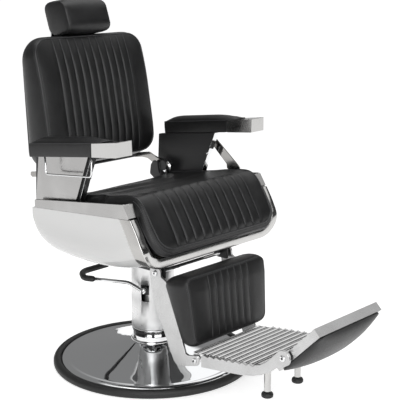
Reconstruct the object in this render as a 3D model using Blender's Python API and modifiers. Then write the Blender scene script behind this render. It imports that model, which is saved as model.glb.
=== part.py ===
"""Hydraulic barber chair: a turning, lifting and reclining chair on a round base.

Metres, +Z up. The origin is on the floor at the column's axis. The chair faces -Y, so the
sitter's right is -X.
"""

import math

import bmesh
import bpy
from mathutils import Matrix, Vector

# Base and column
RING_RADIUS = 0.350
COVER_RADIUS = 0.324
CYLINDER_RADIUS = 0.045
SLEEVE_RADIUS = 0.0743
SLEEVE_BOTTOM = 0.131
SLEEVE_TOP = 0.395
LIFT_STROKE = 0.14

# Pump lever
LEVER_ANGLE = math.radians(-157)
LEVER_HEIGHT = 0.278

# Seat
SEAT_TILT = math.radians(6.6)
TRIM_HALF_WIDTH = 0.333
TUB_WALL = 0.005
BAND_DEPTH = 0.050
BAND_THICKNESS = 0.010
FLANGE_WIDTH = 0.030
FLANGE_THICKNESS = 0.006

# Arms, and the recline lever's pin on the left one
ARM_INNER = 0.285
ARM_OUTER = 0.353
RELEASE_PIN = (0.004, 0.742)

# Backrest
BACK_PIVOT = (0.175, 0.640)
BACK_TILT = math.radians(9.6)
REAR_TILT = math.radians(3.2)

# Legrest and footplate
LEG_PIVOT = (-0.187, 0.395)
FOOT_PIVOT = (-0.358, 0.142)
FLAP_PIVOT = (-0.705, 0.241)
FLAP_TILT = math.radians(45)
RIB_PITCH = 0.026

GAP = 0.0005


# ------------------------------------------------------------------ scene and helpers

for old in list(bpy.data.objects):
    bpy.data.objects.remove(old, do_unlink=True)

chair = bpy.data.collections.new("barber_chair")
cutters = bpy.data.collections.new("cutters")
bpy.context.scene.collection.children.link(chair)
bpy.context.scene.collection.children.link(cutters)

FINISHES = {
    "leather": ((0.018, 0.018, 0.020), 0.0, 0.50),
    "chrome": ((0.82, 0.83, 0.85), 1.0, 0.08),
    "brushed": ((0.70, 0.70, 0.71), 1.0, 0.32),
    "aluminium": ((0.80, 0.80, 0.81), 1.0, 0.38),
    "white_gloss": ((0.86, 0.86, 0.85), 0.0, 0.15),
    "rubber": ((0.015, 0.015, 0.015), 0.0, 0.80),
    "black_plastic": ((0.020, 0.020, 0.022), 0.0, 0.40),
    "black_steel": ((0.030, 0.030, 0.032), 0.6, 0.45),
    "cast_iron": ((0.050, 0.050, 0.050), 0.5, 0.70),
    "wood": ((0.45, 0.32, 0.18), 0.0, 0.70),
}


def finish(name, mesh, surface, origin=(0, 0, 0), bevel=0.0, segments=2):
    """Turns a bmesh into a named node with its own material, its origin at the given point."""
    bmesh.ops.recalc_face_normals(mesh, faces=mesh.faces)
    if mesh.calc_volume(signed=True) < 0:
        bmesh.ops.reverse_faces(mesh, faces=mesh.faces)
    bmesh.ops.translate(mesh, verts=mesh.verts, vec=-Vector(origin))
    data = bpy.data.meshes.new(name)
    mesh.to_mesh(data)
    mesh.free()
    node = bpy.data.objects.new(name, data)
    node.location = origin
    chair.objects.link(node)
    color, metallic, roughness = FINISHES[surface]
    material = bpy.data.materials.new(name)
    material.use_nodes = True
    shader = material.node_tree.nodes["Principled BSDF"]
    shader.inputs["Base Color"].default_value = (*color, 1)
    shader.inputs["Metallic"].default_value = metallic
    shader.inputs["Roughness"].default_value = roughness
    data.materials.append(material)
    if bevel:
        rounding = node.modifiers.new("rounded edges", "BEVEL")
        rounding.width = bevel
        rounding.segments = segments
        rounding.limit_method = "ANGLE"
        rounding.angle_limit = math.radians(40)
    return node


def combine(node, mesh, label, operation):
    """Adds a Boolean of the shape in a bmesh to a node."""
    bmesh.ops.recalc_face_normals(mesh, faces=mesh.faces)
    data = bpy.data.meshes.new(label)
    mesh.to_mesh(data)
    mesh.free()
    helper = bpy.data.objects.new(label, data)
    helper.hide_render = True
    helper.display_type = "WIRE"
    cutters.objects.link(helper)
    step = node.modifiers.new(label, "BOOLEAN")
    step.operation = operation
    step.solver = "EXACT"
    step.object = helper


def cut(node, mesh, label):
    combine(node, mesh, label, "DIFFERENCE")


def fuse(node, mesh, label):
    combine(node, mesh, label, "UNION")


def join_rings(mesh, rings, closed_path=False, cap=True):
    """Skins closed rings of equal length with quads, and caps the two ends."""
    count = len(rings[0])
    pairs = list(zip(rings, rings[1:]))
    if closed_path:
        pairs.append((rings[-1], rings[0]))
    for first, second in pairs:
        for i in range(count):
            j = (i + 1) % count
            mesh.faces.new((first[i], first[j], second[j], second[i]))
    if cap and not closed_path:
        mesh.faces.new(rings[0])
        mesh.faces.new(rings[-1])


def prism(outline, low, high):
    """A side-view outline of (y, z) points, extruded along X."""
    mesh = bmesh.new()
    rings = [[mesh.verts.new((x, y, z)) for y, z in outline] for x in (low, high)]
    join_rings(mesh, rings)
    return mesh


def block(low, high):
    """A box between two corners."""
    (x0, y0, z0), (x1, y1, z1) = low, high
    return prism([(y0, z0), (y1, z0), (y1, z1), (y0, z1)], x0, x1)


def turned(profile, steps=48, centre=(0, 0)):
    """A closed outline of (radius, z) points, turned about a vertical axis."""
    mesh = bmesh.new()
    rings = []
    for i in range(steps):
        angle = 2 * math.pi * i / steps
        rings.append([
            mesh.verts.new((centre[0] + r * math.cos(angle), centre[1] + r * math.sin(angle), z))
            for r, z in profile
        ])
    join_rings(mesh, rings, closed_path=True)
    return mesh


def stacked(profile, steps=32, centre=(0, 0)):
    """A solid turned about a vertical axis, from (radius, z) sections listed from the bottom up."""
    mesh = bmesh.new()
    angles = [2 * math.pi * i / steps for i in range(steps)]
    rings = []
    for r, z in profile:
        rings.append([
            mesh.verts.new((centre[0] + r * math.cos(a), centre[1] + r * math.sin(a), z))
            for a in angles
        ])
    join_rings(mesh, rings)
    return mesh


def rod(start, end, radius, sides=16):
    """A straight solid rod."""
    return tube([start, end], radius, sides)


def tube(path, radius, sides=12):
    """A solid rod bent along a list of points."""
    points = [Vector(p) for p in path]
    mesh = bmesh.new()
    rings = []
    across = None
    for i, point in enumerate(points):
        before = points[max(i - 1, 0)]
        after = points[min(i + 1, len(points) - 1)]
        along = (after - before).normalized()
        if across is None:
            helper = Vector((0, 0, 1)) if abs(along.z) < 0.9 else Vector((1, 0, 0))
            across = along.cross(helper).normalized()
        across = (across - along * across.dot(along)).normalized()
        third = along.cross(across)
        ring = []
        for k in range(sides):
            angle = 2 * math.pi * k / sides
            ring.append(mesh.verts.new(
                point + radius * (math.cos(angle) * across + math.sin(angle) * third)))
        rings.append(ring)
    join_rings(mesh, rings)
    return mesh


def stepped_pin(centre, sections, sides=16):
    """A pin along X at a (y, z) centre, made of (x, radius) sections."""
    mesh = bmesh.new()
    y, z = centre
    rings = []
    for x, radius in sections:
        angles = [2 * math.pi * k / sides for k in range(sides)]
        rings.append([
            mesh.verts.new((x, y + radius * math.cos(a), z + radius * math.sin(a)))
            for a in angles
        ])
    join_rings(mesh, rings)
    return mesh


def rounded_path(points, radius, steps=4):
    """The same path with each inner corner replaced by an arc of short steps."""
    points = [Vector(p) for p in points]
    path = [points[0]]
    for before, corner, after in zip(points, points[1:], points[2:]):
        into = (corner - before).normalized()
        out = (after - corner).normalized()
        half = into.angle(out) / 2
        reach = min(radius * math.tan(half), (corner - before).length / 2.05,
                    (after - corner).length / 2.05)
        start = corner - into * reach
        end = corner + out * reach
        for i in range(steps + 1):
            t = i / steps
            path.append(start * (1 - t) ** 2 + corner * 2 * t * (1 - t) + end * t ** 2)
    path.append(points[-1])
    return path


def arc(centre, radius, start, end, steps):
    """Points on an arc of a side view, angles in degrees."""
    points = []
    for i in range(steps + 1):
        angle = math.radians(start + (end - start) * i / steps)
        points.append((centre[0] + radius * math.cos(angle), centre[1] + radius * math.sin(angle)))
    return points


def rounded_rectangle(half_width, half_height, corner, steps=4):
    """Points of a rectangle with round corners, counter-clockwise from the right side."""
    points = []
    for sx, sy, start in ((1, 1, 0), (-1, 1, 90), (-1, -1, 180), (1, -1, 270)):
        centre = (sx * (half_width - corner), sy * (half_height - corner))
        points += arc(centre, corner, start, start + 90, steps)
    return points


def cushion(half_width, half_height, corner, thickness, edge, crown, back_crown=0.0, taper=None):
    """A pad lying in X and local Y, its front face towards local +Z and crowned.

    A taper (slope, level) leans the rear face: it moves away from the front below that level.
    """
    half = thickness / 2
    return layered_pad(half_width, half_height, corner, [
        (edge * 2.4, -half - back_crown),
        (edge, -half - back_crown * 0.3),
        (edge * 0.3, -half + edge * 0.3),
        (0.0, -half + edge),
        (0.0, half - edge),
        (edge * 0.3, half - edge * 0.3),
        (edge, half + crown * 0.2),
        (edge * 2.4, half + crown * 0.65),
        (edge * 4.0, half + crown),
    ], taper)


def layered_pad(half_width, half_height, corner, layers, taper=None):
    """A pad skinned over rounded rectangles, one for each (inset, height) layer."""
    mesh = bmesh.new()
    rings = []
    for inset, height in layers:
        outline = rounded_rectangle(half_width - inset, half_height - inset,
                                    max(corner - inset, 0.006))
        slope, level = taper if taper and height < 0 else (0, 0)
        rings.append([mesh.verts.new((x, y, height - slope * (level - y))) for x, y in outline])
    join_rings(mesh, rings)
    return mesh


def stand_up(mesh, centre, tilt):
    """Turns a pad so that local Y points up, local +Z to the chair's front, leaning back by tilt."""
    turn = Matrix.Rotation(math.pi / 2 - tilt, 4, "X")
    bmesh.ops.transform(mesh, matrix=Matrix.Translation(centre) @ turn, verts=mesh.verts)
    return mesh


def both_sides(label, make):
    """Calls make(name, side) for the sitter's right, at -X, and left."""
    make(label + "_right", -1)
    make(label + "_left", 1)


def flip(mesh, side):
    """Mirrors a shape made at +X when it belongs at -X."""
    if side < 0:
        bmesh.ops.scale(mesh, vec=(-1, 1, 1), verts=mesh.verts)
    return mesh


def band_front(z):
    """How far forward the seat's chrome surround reaches at a height."""
    points = [(0.440, -0.279), (0.470, -0.286), (0.500, -0.288), (0.550, -0.267),
              (0.606, -0.235), (0.655, -0.203)]
    if z <= points[0][0]:
        return points[0][1]
    for (z0, y0), (z1, y1) in zip(points, points[1:]):
        if z <= z1:
            return y0 + (y1 - y0) * (z - z0) / (z1 - z0)
    return points[-1][1]


def u_path(half_width, bottom, corner, top_of, steps=6):
    """Front-view (x, z) points down the right side, across the bottom and up the left."""
    left_side = [(-half_width, top_of), (-half_width, (top_of + bottom + corner) / 2)]
    left_side += arc((-half_width + corner, bottom + corner), corner, 180, 270, steps)
    middle = [(-half_width * 0.3, bottom), (half_width * 0.3, bottom)]
    right_side = [(-x, z) for x, z in reversed(left_side)]
    return left_side + middle + right_side


# ------------------------------------------------------------------ base

finish("base_plate", stacked([(0.318, 0.0), (0.318, 0.010), (0.085, 0.016)], 44), "cast_iron")

finish("base_cover", turned([
    (0.0800, 0.0815), (0.1000, 0.0740), (0.1300, 0.0650), (0.1800, 0.0520), (0.2400, 0.0385),
    (0.2950, 0.0275), (0.3120, 0.0270), (0.3200, 0.0240), (COVER_RADIUS, 0.0130),
    (COVER_RADIUS - 0.0025, 0.0130), (0.3175, 0.0215), (0.3110, 0.0245), (0.2950, 0.0250),
    (0.2400, 0.0360), (0.1800, 0.0495), (0.1300, 0.0625), (0.1000, 0.0712), (0.0800, 0.0785),
], 44), "chrome")

finish("base_ring", turned([
    (COVER_RADIUS + GAP, 0.0), (0.344, 0.0), (RING_RADIUS, 0.005), (RING_RADIUS, 0.018),
    (0.345, 0.0245), (0.336, 0.027), (COVER_RADIUS + GAP, 0.0240),
], 44), "rubber")

finish("pump_cylinder", turned([
    (0.0305, 0.0165), (0.0780, 0.0165), (0.0780, 0.0260), (CYLINDER_RADIUS, 0.0300),
    (CYLINDER_RADIUS, 0.3000), (0.0305, 0.3000),
], 32), "brushed")

finish("base_collar", turned([
    (CYLINDER_RADIUS + GAP, 0.0600), (0.0785, 0.0600), (0.0785, 0.0860), (0.0770, 0.0880),
    (0.0735, 0.0890), (0.0735, 0.1295), (CYLINDER_RADIUS + GAP, 0.1295),
], 40), "chrome")


# ------------------------------------------------------------------ lift

finish("piston_rod", stacked([
    (0.0302, 0.0300), (0.0302, 0.0600), (0.0240, 0.0640), (0.0240, 0.3850),
], 28), "chrome")


# ------------------------------------------------------------------ column, part of the seat unit

OUT = Vector((math.cos(LEVER_ANGLE), math.sin(LEVER_ANGLE), 0))
ACROSS = Vector((-OUT.y, OUT.x, 0))


def radial_block(near, far, half_width, low, high):
    """A block that stands out along the pump lever's radial direction."""
    mesh = block((near, -half_width, low), (far, half_width, high))
    bmesh.ops.rotate(mesh, verts=mesh.verts, matrix=Matrix.Rotation(LEVER_ANGLE, 3, "Z"))
    return mesh


sleeve = finish("column_sleeve", turned([
    (SLEEVE_RADIUS - 0.003, SLEEVE_BOTTOM), (SLEEVE_RADIUS, SLEEVE_BOTTOM),
    (SLEEVE_RADIUS, SLEEVE_TOP), (SLEEVE_RADIUS - 0.003, SLEEVE_TOP),
], 48), "chrome")
cut(sleeve, radial_block(0.05, 0.10, 0.0150, 0.235, 0.294), "lever_slot")

finish("guide_bush", turned([
    (CYLINDER_RADIUS + 0.0003, 0.1330), (SLEEVE_RADIUS - 0.0034, 0.1330),
    (SLEEVE_RADIUS - 0.0034, 0.1570), (CYLINDER_RADIUS + 0.0003, 0.1570),
], 40), "black_plastic")

head = finish("pump_head", turned([
    (0.0243, 0.3050), (0.0700, 0.3050), (0.0700, 0.3940), (0.0243, 0.3940),
], 32), "cast_iron")

fuse(head, radial_block(0.0480, 0.0670, 0.0130, 0.258, 0.3200), "lever_lug")
lever_axis = Vector((0, 0, LEVER_HEIGHT))
cut(head, rod(OUT * 0.03 + lever_axis, OUT * 0.09 + lever_axis, 0.0065, 20), "lever_bore")


# ------------------------------------------------------------------ pump lever

hub = OUT * 0.0500 + lever_axis
hub_end = OUT * 0.0880 + lever_axis
finish("pump_lever_rod",
       tube(rounded_path([
           hub,
           hub_end,
           Vector((-0.0950, 0.0220, 0.300)),
           Vector((-0.1460, 0.1380, 0.300)),
       ], 0.012), 0.0062, 12),
       "chrome", origin=hub)
rod_way = (Vector((-0.1460, 0.1380, 0)) - Vector((-0.0950, 0.0220, 0))).normalized()
grip_start = Vector((-0.1460, 0.1380, 0.300)) + rod_way * 0.0006
finish("pump_lever_grip",
       tube(rounded_path([
           grip_start,
           grip_start + rod_way * 0.040,
           Vector((-0.1200, 0.2360, 0.300)),
           Vector((0.0100, 0.2360, 0.300)),
       ], 0.040, 5), 0.0105, 14),
       "rubber", origin=hub)


# ------------------------------------------------------------------ seat structure

finish("mounting_plate", block((-0.125, -0.115, 0.3965), (0.125, 0.125, 0.4055)), "black_steel",
       bevel=0.003)

STRUT_HEIGHT = 0.4920
frame = finish("seat_frame", prism([
    (-0.150, 0.4600), (0.150, 0.4600), (0.150, 0.5200), (0.142, 0.5200), (0.142, 0.4680),
    (-0.142, 0.4680), (-0.142, 0.5520), (-0.150, 0.5520),
], -0.17, 0.17), "black_steel")
cut(frame, rod((0, 0.13, STRUT_HEIGHT), (0, 0.16, STRUT_HEIGHT), 0.0090, 20), "strut_hole")

tub_stations = [
    (0.232, 0.475), (0.226, 0.456), (0.212, 0.439), (0.180, 0.424), (0.109, 0.4130),
    (0.010, 0.4095), (-0.080, 0.4130), (-0.150, 0.4220), (-0.235, 0.4450),
]


def trim_bottom(y):
    """Height of the lower edge of the side trims."""
    return 0.5760 + 0.0678 * (0.216 - y)


def tub_rings(inset):
    """Front-view rings of the tub from its rear wall to its front rim, moved inwards by a wall."""
    rings = []
    band = u_path(TRIM_HALF_WIDTH, 0.4430, 0.090, 0.6040)
    for i, (station, bottom) in enumerate(tub_stations):
        top = trim_bottom(max(station, -0.185)) - 0.0012
        corner = min(0.088, 0.8 * (top - bottom))
        outline = u_path(TRIM_HALF_WIDTH - 0.002 - inset, bottom + inset, corner - inset, top)
        back = inset if i < 4 else 0.0
        ring = []
        for (x, z), (_, band_z) in zip(outline, band):
            rim = band_front(band_z) + BAND_DEPTH + 0.0015
            y = station - back if i < len(tub_stations) - 1 else rim
            ring.append((x, max(y, rim), z))
        rings.append(ring)
    return rings


def tub_shell():
    """The seat's open shell: a flat rear wall, a curved underside and round lower corners."""
    mesh = bmesh.new()
    outer = [[mesh.verts.new(point) for point in ring] for ring in tub_rings(0.0)]
    inner = [[mesh.verts.new(point) for point in ring] for ring in tub_rings(TUB_WALL)]
    for rings in (outer, inner):
        for first, second in zip(rings, rings[1:]):
            for a, b, c, d in zip(first, first[1:], second[1:], second):
                mesh.faces.new((a, b, c, d))
        mesh.faces.new(rings[0])
    for end in (0, -1):
        for i in range(len(outer) - 1):
            mesh.faces.new((outer[i][end], outer[i + 1][end], inner[i + 1][end], inner[i][end]))
    for i in range(len(outer[-1]) - 1):
        mesh.faces.new((outer[-1][i], outer[-1][i + 1], inner[-1][i + 1], inner[-1][i]))
    mesh.faces.new((outer[0][0], outer[0][-1], inner[0][-1], inner[0][0]))
    return mesh


finish("seat_tub", tub_shell(), "white_gloss")


def front_surround():
    """The chrome frame round the front of the seat: a side wall with a flat flange at its front."""
    mesh = bmesh.new()
    outer = u_path(TRIM_HALF_WIDTH, 0.4430, 0.090, 0.6025)
    wall = u_path(TRIM_HALF_WIDTH - BAND_THICKNESS, 0.4430 + BAND_THICKNESS,
                  0.090 - BAND_THICKNESS, 0.6025)
    flange = u_path(TRIM_HALF_WIDTH - FLANGE_WIDTH, 0.4460 + FLANGE_WIDTH, 0.090 - FLANGE_WIDTH,
                    0.6025)
    rings = []
    for (xo, zo), (xw, zw), (xf, zf) in zip(outer, wall, flange):
        front = band_front(zo)
        face = band_front(zf)
        rings.append([
            mesh.verts.new((xo, front + BAND_DEPTH, zo)), mesh.verts.new((xo, front, zo)),
            mesh.verts.new((xf, face, zf)), mesh.verts.new((xf, face + FLANGE_THICKNESS, zf)),
            mesh.verts.new((xw, band_front(zw) + FLANGE_THICKNESS, zw)),
            mesh.verts.new((xw, front + BAND_DEPTH, zw)),
        ])
    join_rings(mesh, rings)
    return mesh


finish("front_surround", front_surround(), "brushed", bevel=0.0015, segments=1)


def make_trim(name, side):
    """A side trim that turns in at its front end, over the leg of the surround."""
    outline = [(0.216, trim_bottom(0.216)), (-0.2270, trim_bottom(-0.2270)), (-0.2297, 0.6100),
               (-0.2060, 0.6470), (-0.2015, 0.6495), (0.216, 0.6020)]
    node = finish(name, flip(prism(outline, 0.3230, TRIM_HALF_WIDTH), side), "brushed")
    end = [(-0.2297, 0.6100), (-0.2060, 0.6470), (-0.2015, 0.6480), (-0.1965, 0.6440),
           (-0.2180, 0.6080)]
    fuse(node, flip(prism(end, 0.2915, 0.3240), side), name + "_front")


both_sides("side_trim", make_trim)


def underside(y):
    return 0.5520 - math.tan(SEAT_TILT) * y


finish("seat_board", prism([
    (0.200, underside(0.200) - 0.0125), (-0.150, underside(-0.150) - 0.0125),
    (-0.150, underside(-0.150) - GAP), (0.200, underside(0.200) - GAP),
], -0.262, 0.262), "wood")

seat_path = [  # (y, z) on the top, half width, (y, z) on the underside
    ((0.206, 0.575), 0.272, (0.196, 0.560)),
    ((0.200, 0.598), 0.272, (0.190, underside(0.190))),
    ((0.180, 0.611), 0.272, (0.180, underside(0.180))),
    ((0.080, 0.629), 0.272, (0.080, underside(0.080))),
    ((0.000, 0.641), 0.272, (0.000, underside(0.000))),
    ((-0.062, 0.650), 0.272, (-0.062, underside(-0.062))),
    ((-0.070, 0.651), 0.290, (-0.070, underside(-0.070))),
    ((-0.130, 0.661), 0.290, (-0.130, underside(-0.130))),
    ((-0.175, 0.668), 0.290, (-0.160, underside(-0.160))),
    ((-0.207, 0.666), 0.290, (-0.178, 0.562)),
    ((-0.236, 0.645), 0.290, (-0.196, 0.552)),
    ((-0.262, 0.607), 0.292, (-0.214, 0.538)),
    ((-0.288, 0.565), 0.296, (-0.230, 0.522)),
    ((-0.308, 0.530), 0.294, (-0.245, 0.505)),
    ((-0.317, 0.506), 0.276, (-0.256, 0.492)),
    ((-0.315, 0.490), 0.250, (-0.268, 0.4835)),
    ((-0.306, 0.4800), 0.228, (-0.290, 0.4795)),
]


def seat_pad():
    """The seat cushion: flat on its board, then over the front edge and down behind the surround."""
    mesh = bmesh.new()
    columns = (-1.0, -0.97, -0.88, -0.5, 0.0, 0.5, 0.88, 0.97, 1.0)
    lifts = (-0.016, -0.006, 0.0, 0.004, 0.007, 0.004, 0.0, -0.006, -0.016)
    upper, lower = [], []
    for top, half_width, bottom in seat_path:
        top, bottom = Vector((0, *top)), Vector((0, *bottom))
        thickness = (top - bottom).normalized()
        row_up, row_low = [], []
        for column, lift in zip(columns, lifts):
            x = half_width * column
            row_up.append(mesh.verts.new(top + thickness * lift + Vector((x, 0, 0))))
            row_low.append(mesh.verts.new(bottom + Vector((x, 0, 0))))
        upper.append(row_up)
        lower.append(row_low)
    width = len(columns)
    for rows in (upper, lower):
        for first, second in zip(rows, rows[1:]):
            for i in range(width - 1):
                mesh.faces.new((first[i], first[i + 1], second[i + 1], second[i]))
    for first_up, second_up, first_low, second_low in zip(upper, upper[1:], lower, lower[1:]):
        for i in (0, width - 1):
            mesh.faces.new((first_up[i], second_up[i], second_low[i], first_low[i]))
    for up, low in ((upper[0], lower[0]), (upper[-1], lower[-1])):
        for i in range(width - 1):
            mesh.faces.new((up[i], up[i + 1], low[i + 1], low[i]))
    return mesh


finish("seat_cushion", seat_pad(), "leather")


# ------------------------------------------------------------------ arms

PAD_REAR_LOW, PAD_REAR_HIGH = 0.7490, 0.7925
PAD_FRONT_LOW, PAD_FRONT_HIGH = 0.7850, 0.8270


def pad_low(y):
    return PAD_REAR_LOW + (PAD_FRONT_LOW - PAD_REAR_LOW) * (0.211 - y) / 0.302


def make_arm_plate(name, side):
    """A plate outside each panel; the left one carries the release lever's pin."""
    outline = [(0.216, pad_low(0.216) - GAP), (0.238, 0.585), (0.044, 0.600),
               (-0.028, pad_low(-0.028) - GAP)]
    node = finish(name, flip(prism(outline, 0.3040, 0.3100), side), "brushed", bevel=0.0010)
    if side > 0:
        fuse(node, rod((0.3070, *RELEASE_PIN), (0.3290, *RELEASE_PIN), 0.0050, 20), "release_pin")


def make_arm_panel(name, side):
    outline = [(0.246, 0.5850), (0.238, pad_low(0.238) - GAP), (-0.0375, pad_low(-0.0375) - GAP),
               (0.0340, 0.6000)]
    finish(name, flip(prism(outline, 0.2800, 0.3035), side), "black_plastic", bevel=0.0020)


def make_arm_pad(name, side):
    outline = [(-0.0900, pad_low(-0.0900)), (-0.0900, 0.8265), (-0.0200, 0.8290), (0.1000, 0.8110),
               (0.1900, 0.8000), (0.2120, 0.7930), (0.2180, 0.7800), (0.2180, 0.7600),
               (0.2100, pad_low(0.2100))]
    finish(name, flip(prism(outline, ARM_INNER, ARM_OUTER), side), "leather", bevel=0.0080,
           segments=3)


def make_arm_cap(name, side):
    outline = [(-0.0912, 0.7850), (-0.0912, 0.8280), (-0.2010, 0.8430), (-0.2010, 0.7960)]
    finish(name, flip(prism(outline, ARM_INNER, ARM_OUTER), side), "brushed", bevel=0.0018)


both_sides("arm_plate", make_arm_plate)
both_sides("arm_panel", make_arm_panel)
both_sides("arm_pad", make_arm_pad)
both_sides("arm_cap", make_arm_cap)

rail_x = -0.3440
finish("towel_rail", tube(rounded_path([
    (rail_x, 0.142, pad_low(0.142) - GAP), (rail_x, 0.139, 0.700), (rail_x, -0.079, 0.720),
    (rail_x, -0.081, pad_low(-0.081) - GAP),
], 0.012, 3), 0.0030, 8), "chrome")


# ------------------------------------------------------------------ recline release lever

lever_outline = arc(RELEASE_PIN, 0.015, -53, 127, 8) + [
    (-0.1130, 0.6670), (-0.1220, 0.6570), (-0.1200, 0.6500), (-0.1120, 0.6475), (-0.0690, 0.6450),
    (-0.0620, 0.6480), (-0.0600, 0.6630)]
release = finish("recline_lever", prism(lever_outline, 0.3200, 0.3250), "chrome",
                 origin=(0.3225, *RELEASE_PIN), bevel=0.0010, segments=1)
cut(release, rod((0.30, *RELEASE_PIN), (0.34, *RELEASE_PIN), 0.0052, 20), "recline_lever_hole")


# ------------------------------------------------------------------ backrest

def make_back_pivot(name, side):
    """A headed pin from the arm panel through the hinge arm's eye."""
    mesh = stepped_pin(BACK_PIVOT, [(0.2345, 0.0170), (0.2355, 0.0190), (0.2395, 0.0190),
                                    (0.2395, 0.0080), (0.2795, 0.0080)], 20)
    finish(name, flip(mesh, side), "chrome")


both_sides("back_pivot", make_back_pivot)


def make_hinge_arm(name, side):
    y, z = BACK_PIVOT
    outline = arc((y, z), 0.0160, 60, 270, 10) + [
        (0.2180, 0.6330), (0.2350, 0.6430), (0.2610, 0.6550), (0.2900, 0.6560), (0.3280, 0.6500),
        (0.3370, 0.6550), (0.3360, 0.6670), (0.2770, 0.6765), (0.2520, 0.6800), (0.2090, 0.6630)]
    node = finish(name, flip(prism(outline, 0.2420, 0.2500), side), "brushed",
                  origin=(side * 0.246, y, z), bevel=0.0010, segments=1)
    cut(node, rod((side * 0.23, y, z), (side * 0.27, y, z), 0.0082, 24), name + "_eye")


both_sides("back_hinge_arm", make_hinge_arm)

finish("back_cross_tube", rod((-0.2415, 0.322, 0.6600), (0.2415, 0.322, 0.6600), 0.0070, 14),
       "black_steel", origin=(0, *BACK_PIVOT))

REAR_SLOPE = math.tan(BACK_TILT - REAR_TILT)
REAR_LEVEL = 0.122
BACK_CENTRE = Vector((0.0, 0.3050, 0.9010))
BACKWARD = Vector((0, math.cos(BACK_TILT), -math.sin(BACK_TILT)))
finish("back_cushion", stand_up(
    cushion(0.256, 0.2150, 0.052, 0.100, 0.016, 0.012, 0.006, (REAR_SLOPE, REAR_LEVEL)),
    BACK_CENTRE, BACK_TILT), "leather", origin=(0, *BACK_PIVOT))

PANEL_CENTRE = BACK_CENTRE + BACKWARD * (0.0612 + REAR_SLOPE * REAR_LEVEL)
finish("back_panel", stand_up(cushion(0.225, 0.1880, 0.040, 0.008, 0.0020, 0.0), PANEL_CENTRE,
                              REAR_TILT), "black_plastic", origin=(0, *BACK_PIVOT))


# ------------------------------------------------------------------ headrest

REAR_UP = Vector((0, math.sin(REAR_TILT), math.cos(REAR_TILT)))
REAR_OUT = Vector((0, math.cos(REAR_TILT), -math.sin(REAR_TILT)))
post_top = PANEL_CENTRE + REAR_UP * 0.2770 + REAR_OUT * 0.0165
POST_LENGTH = 0.240


def leaning_block(centre_top, length, half_width, half_depth):
    """A bar that runs down from its top along the lean of the backrest's rear."""
    mesh = block((-half_width, -half_depth, -length), (half_width, half_depth, 0))
    bmesh.ops.transform(mesh, verts=mesh.verts, matrix=(
        Matrix.Translation(centre_top) @ Matrix.Rotation(-REAR_TILT, 4, "X")))
    return mesh


finish("headrest_post", leaning_block(post_top, POST_LENGTH, 0.0820, 0.0035), "chrome",
       origin=post_top, bevel=0.0012, segments=1)


def make_guide(name, side):
    """An angle on the back panel that holds one edge of the post."""
    middle = post_top - REAR_UP * 0.150
    inner = block((0.0830, -0.0115, -0.060), (0.0990, 0.0070, 0.060))
    bmesh.ops.transform(inner, verts=inner.verts, matrix=(
        Matrix.Translation(middle) @ Matrix.Rotation(-REAR_TILT, 4, "X")))
    finish(name, flip(inner, side), "black_steel", origin=(0, *BACK_PIVOT), bevel=0.0010,
           segments=1)


both_sides("headrest_guide", make_guide)

HEAD_CENTRE = Vector((0.0, 0.3560, 1.1850))
HEAD_TILT = math.radians(22)
head_hinge = Vector((0, 0.3975, 1.1500))
finish("headrest_cushion", stand_up(
    cushion(0.104, 0.0540, 0.030, 0.082, 0.014, 0.006, 0.003), HEAD_CENTRE, HEAD_TILT),
    "leather", origin=head_hinge)
side_step = Vector((0.050, 0, 0))
finish("headrest_hinge", rod(head_hinge - side_step, head_hinge + side_step, 0.0070, 16),
       "chrome", origin=head_hinge)


# ------------------------------------------------------------------ recline cylinder

CYLINDER_REAR, CYLINDER_FRONT = 0.1000, -0.1300
strut = finish("recline_cylinder", rod((0, CYLINDER_FRONT, STRUT_HEIGHT),
                                       (0, CYLINDER_REAR, STRUT_HEIGHT), 0.0140, 20), "black_steel")
cut(strut, rod((0, -0.1200, STRUT_HEIGHT), (0, 0.1500, STRUT_HEIGHT), 0.0062, 20), "strut_bore")
finish("recline_rod", rod((0, -0.0400, STRUT_HEIGHT), (0, 0.2100, STRUT_HEIGHT), 0.0060, 20),
       "chrome", origin=(0, 0.21, STRUT_HEIGHT))


# ------------------------------------------------------------------ legrest

def make_carriage(name, side):
    y, z = LEG_PIVOT
    outline = [(-0.2090, 0.3760), (-0.1650, 0.3760), (-0.1450, 0.3900), (-0.0300, 0.3900),
               (-0.0300, 0.4060), (-0.1500, 0.4120), (-0.2090, 0.4180)]
    node = finish(name, flip(prism(outline, 0.1500, 0.1580), side), "black_steel", bevel=0.0010,
                  segments=1)
    cut(node, rod((side * 0.14, y, z), (side * 0.17, y, z), 0.0062, 20), name + "_hole")


both_sides("legrest_slide", make_carriage)
finish("legrest_shaft", stepped_pin(LEG_PIVOT, [
    (-0.1815, 0.0100), (-0.1790, 0.0100), (-0.1790, 0.0060), (0.1790, 0.0060), (0.1790, 0.0100),
    (0.1815, 0.0100)]), "chrome")


def make_legrest_arm(name, side):
    y, z = LEG_PIVOT
    outline = [(y - 0.0235, z + 0.008)] + arc((y, z), 0.0245, 160, 10, 8) + [
        (-0.1690, 0.3450), (-0.1920, 0.2760), (-0.2680, 0.1180), (-0.2780, 0.1090),
        (-0.2920, 0.1060), (-0.3660, 0.1260), (-0.3730, 0.1330), (-0.3730, 0.1540),
        (-0.3680, 0.1590), (-0.3300, 0.1520), (-0.3180, 0.1560), (-0.2680, 0.2930),
        (-0.2450, 0.3620), (-0.2300, 0.3780), (-0.2120, 0.3870)]
    node = finish(name, flip(prism(outline, 0.1700, 0.1785), side), "aluminium",
                  origin=(side * 0.174, y, z), bevel=0.0012, segments=1)
    cut(node, rod((side * 0.16, y, z), (side * 0.19, y, z), 0.0062, 20), name + "_eye")
    y, z = FOOT_PIVOT
    cut(node, rod((side * 0.16, y, z), (side * 0.19, y, z), 0.0052, 20), name + "_foot_eye")


both_sides("legrest_arm", make_legrest_arm)

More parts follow.
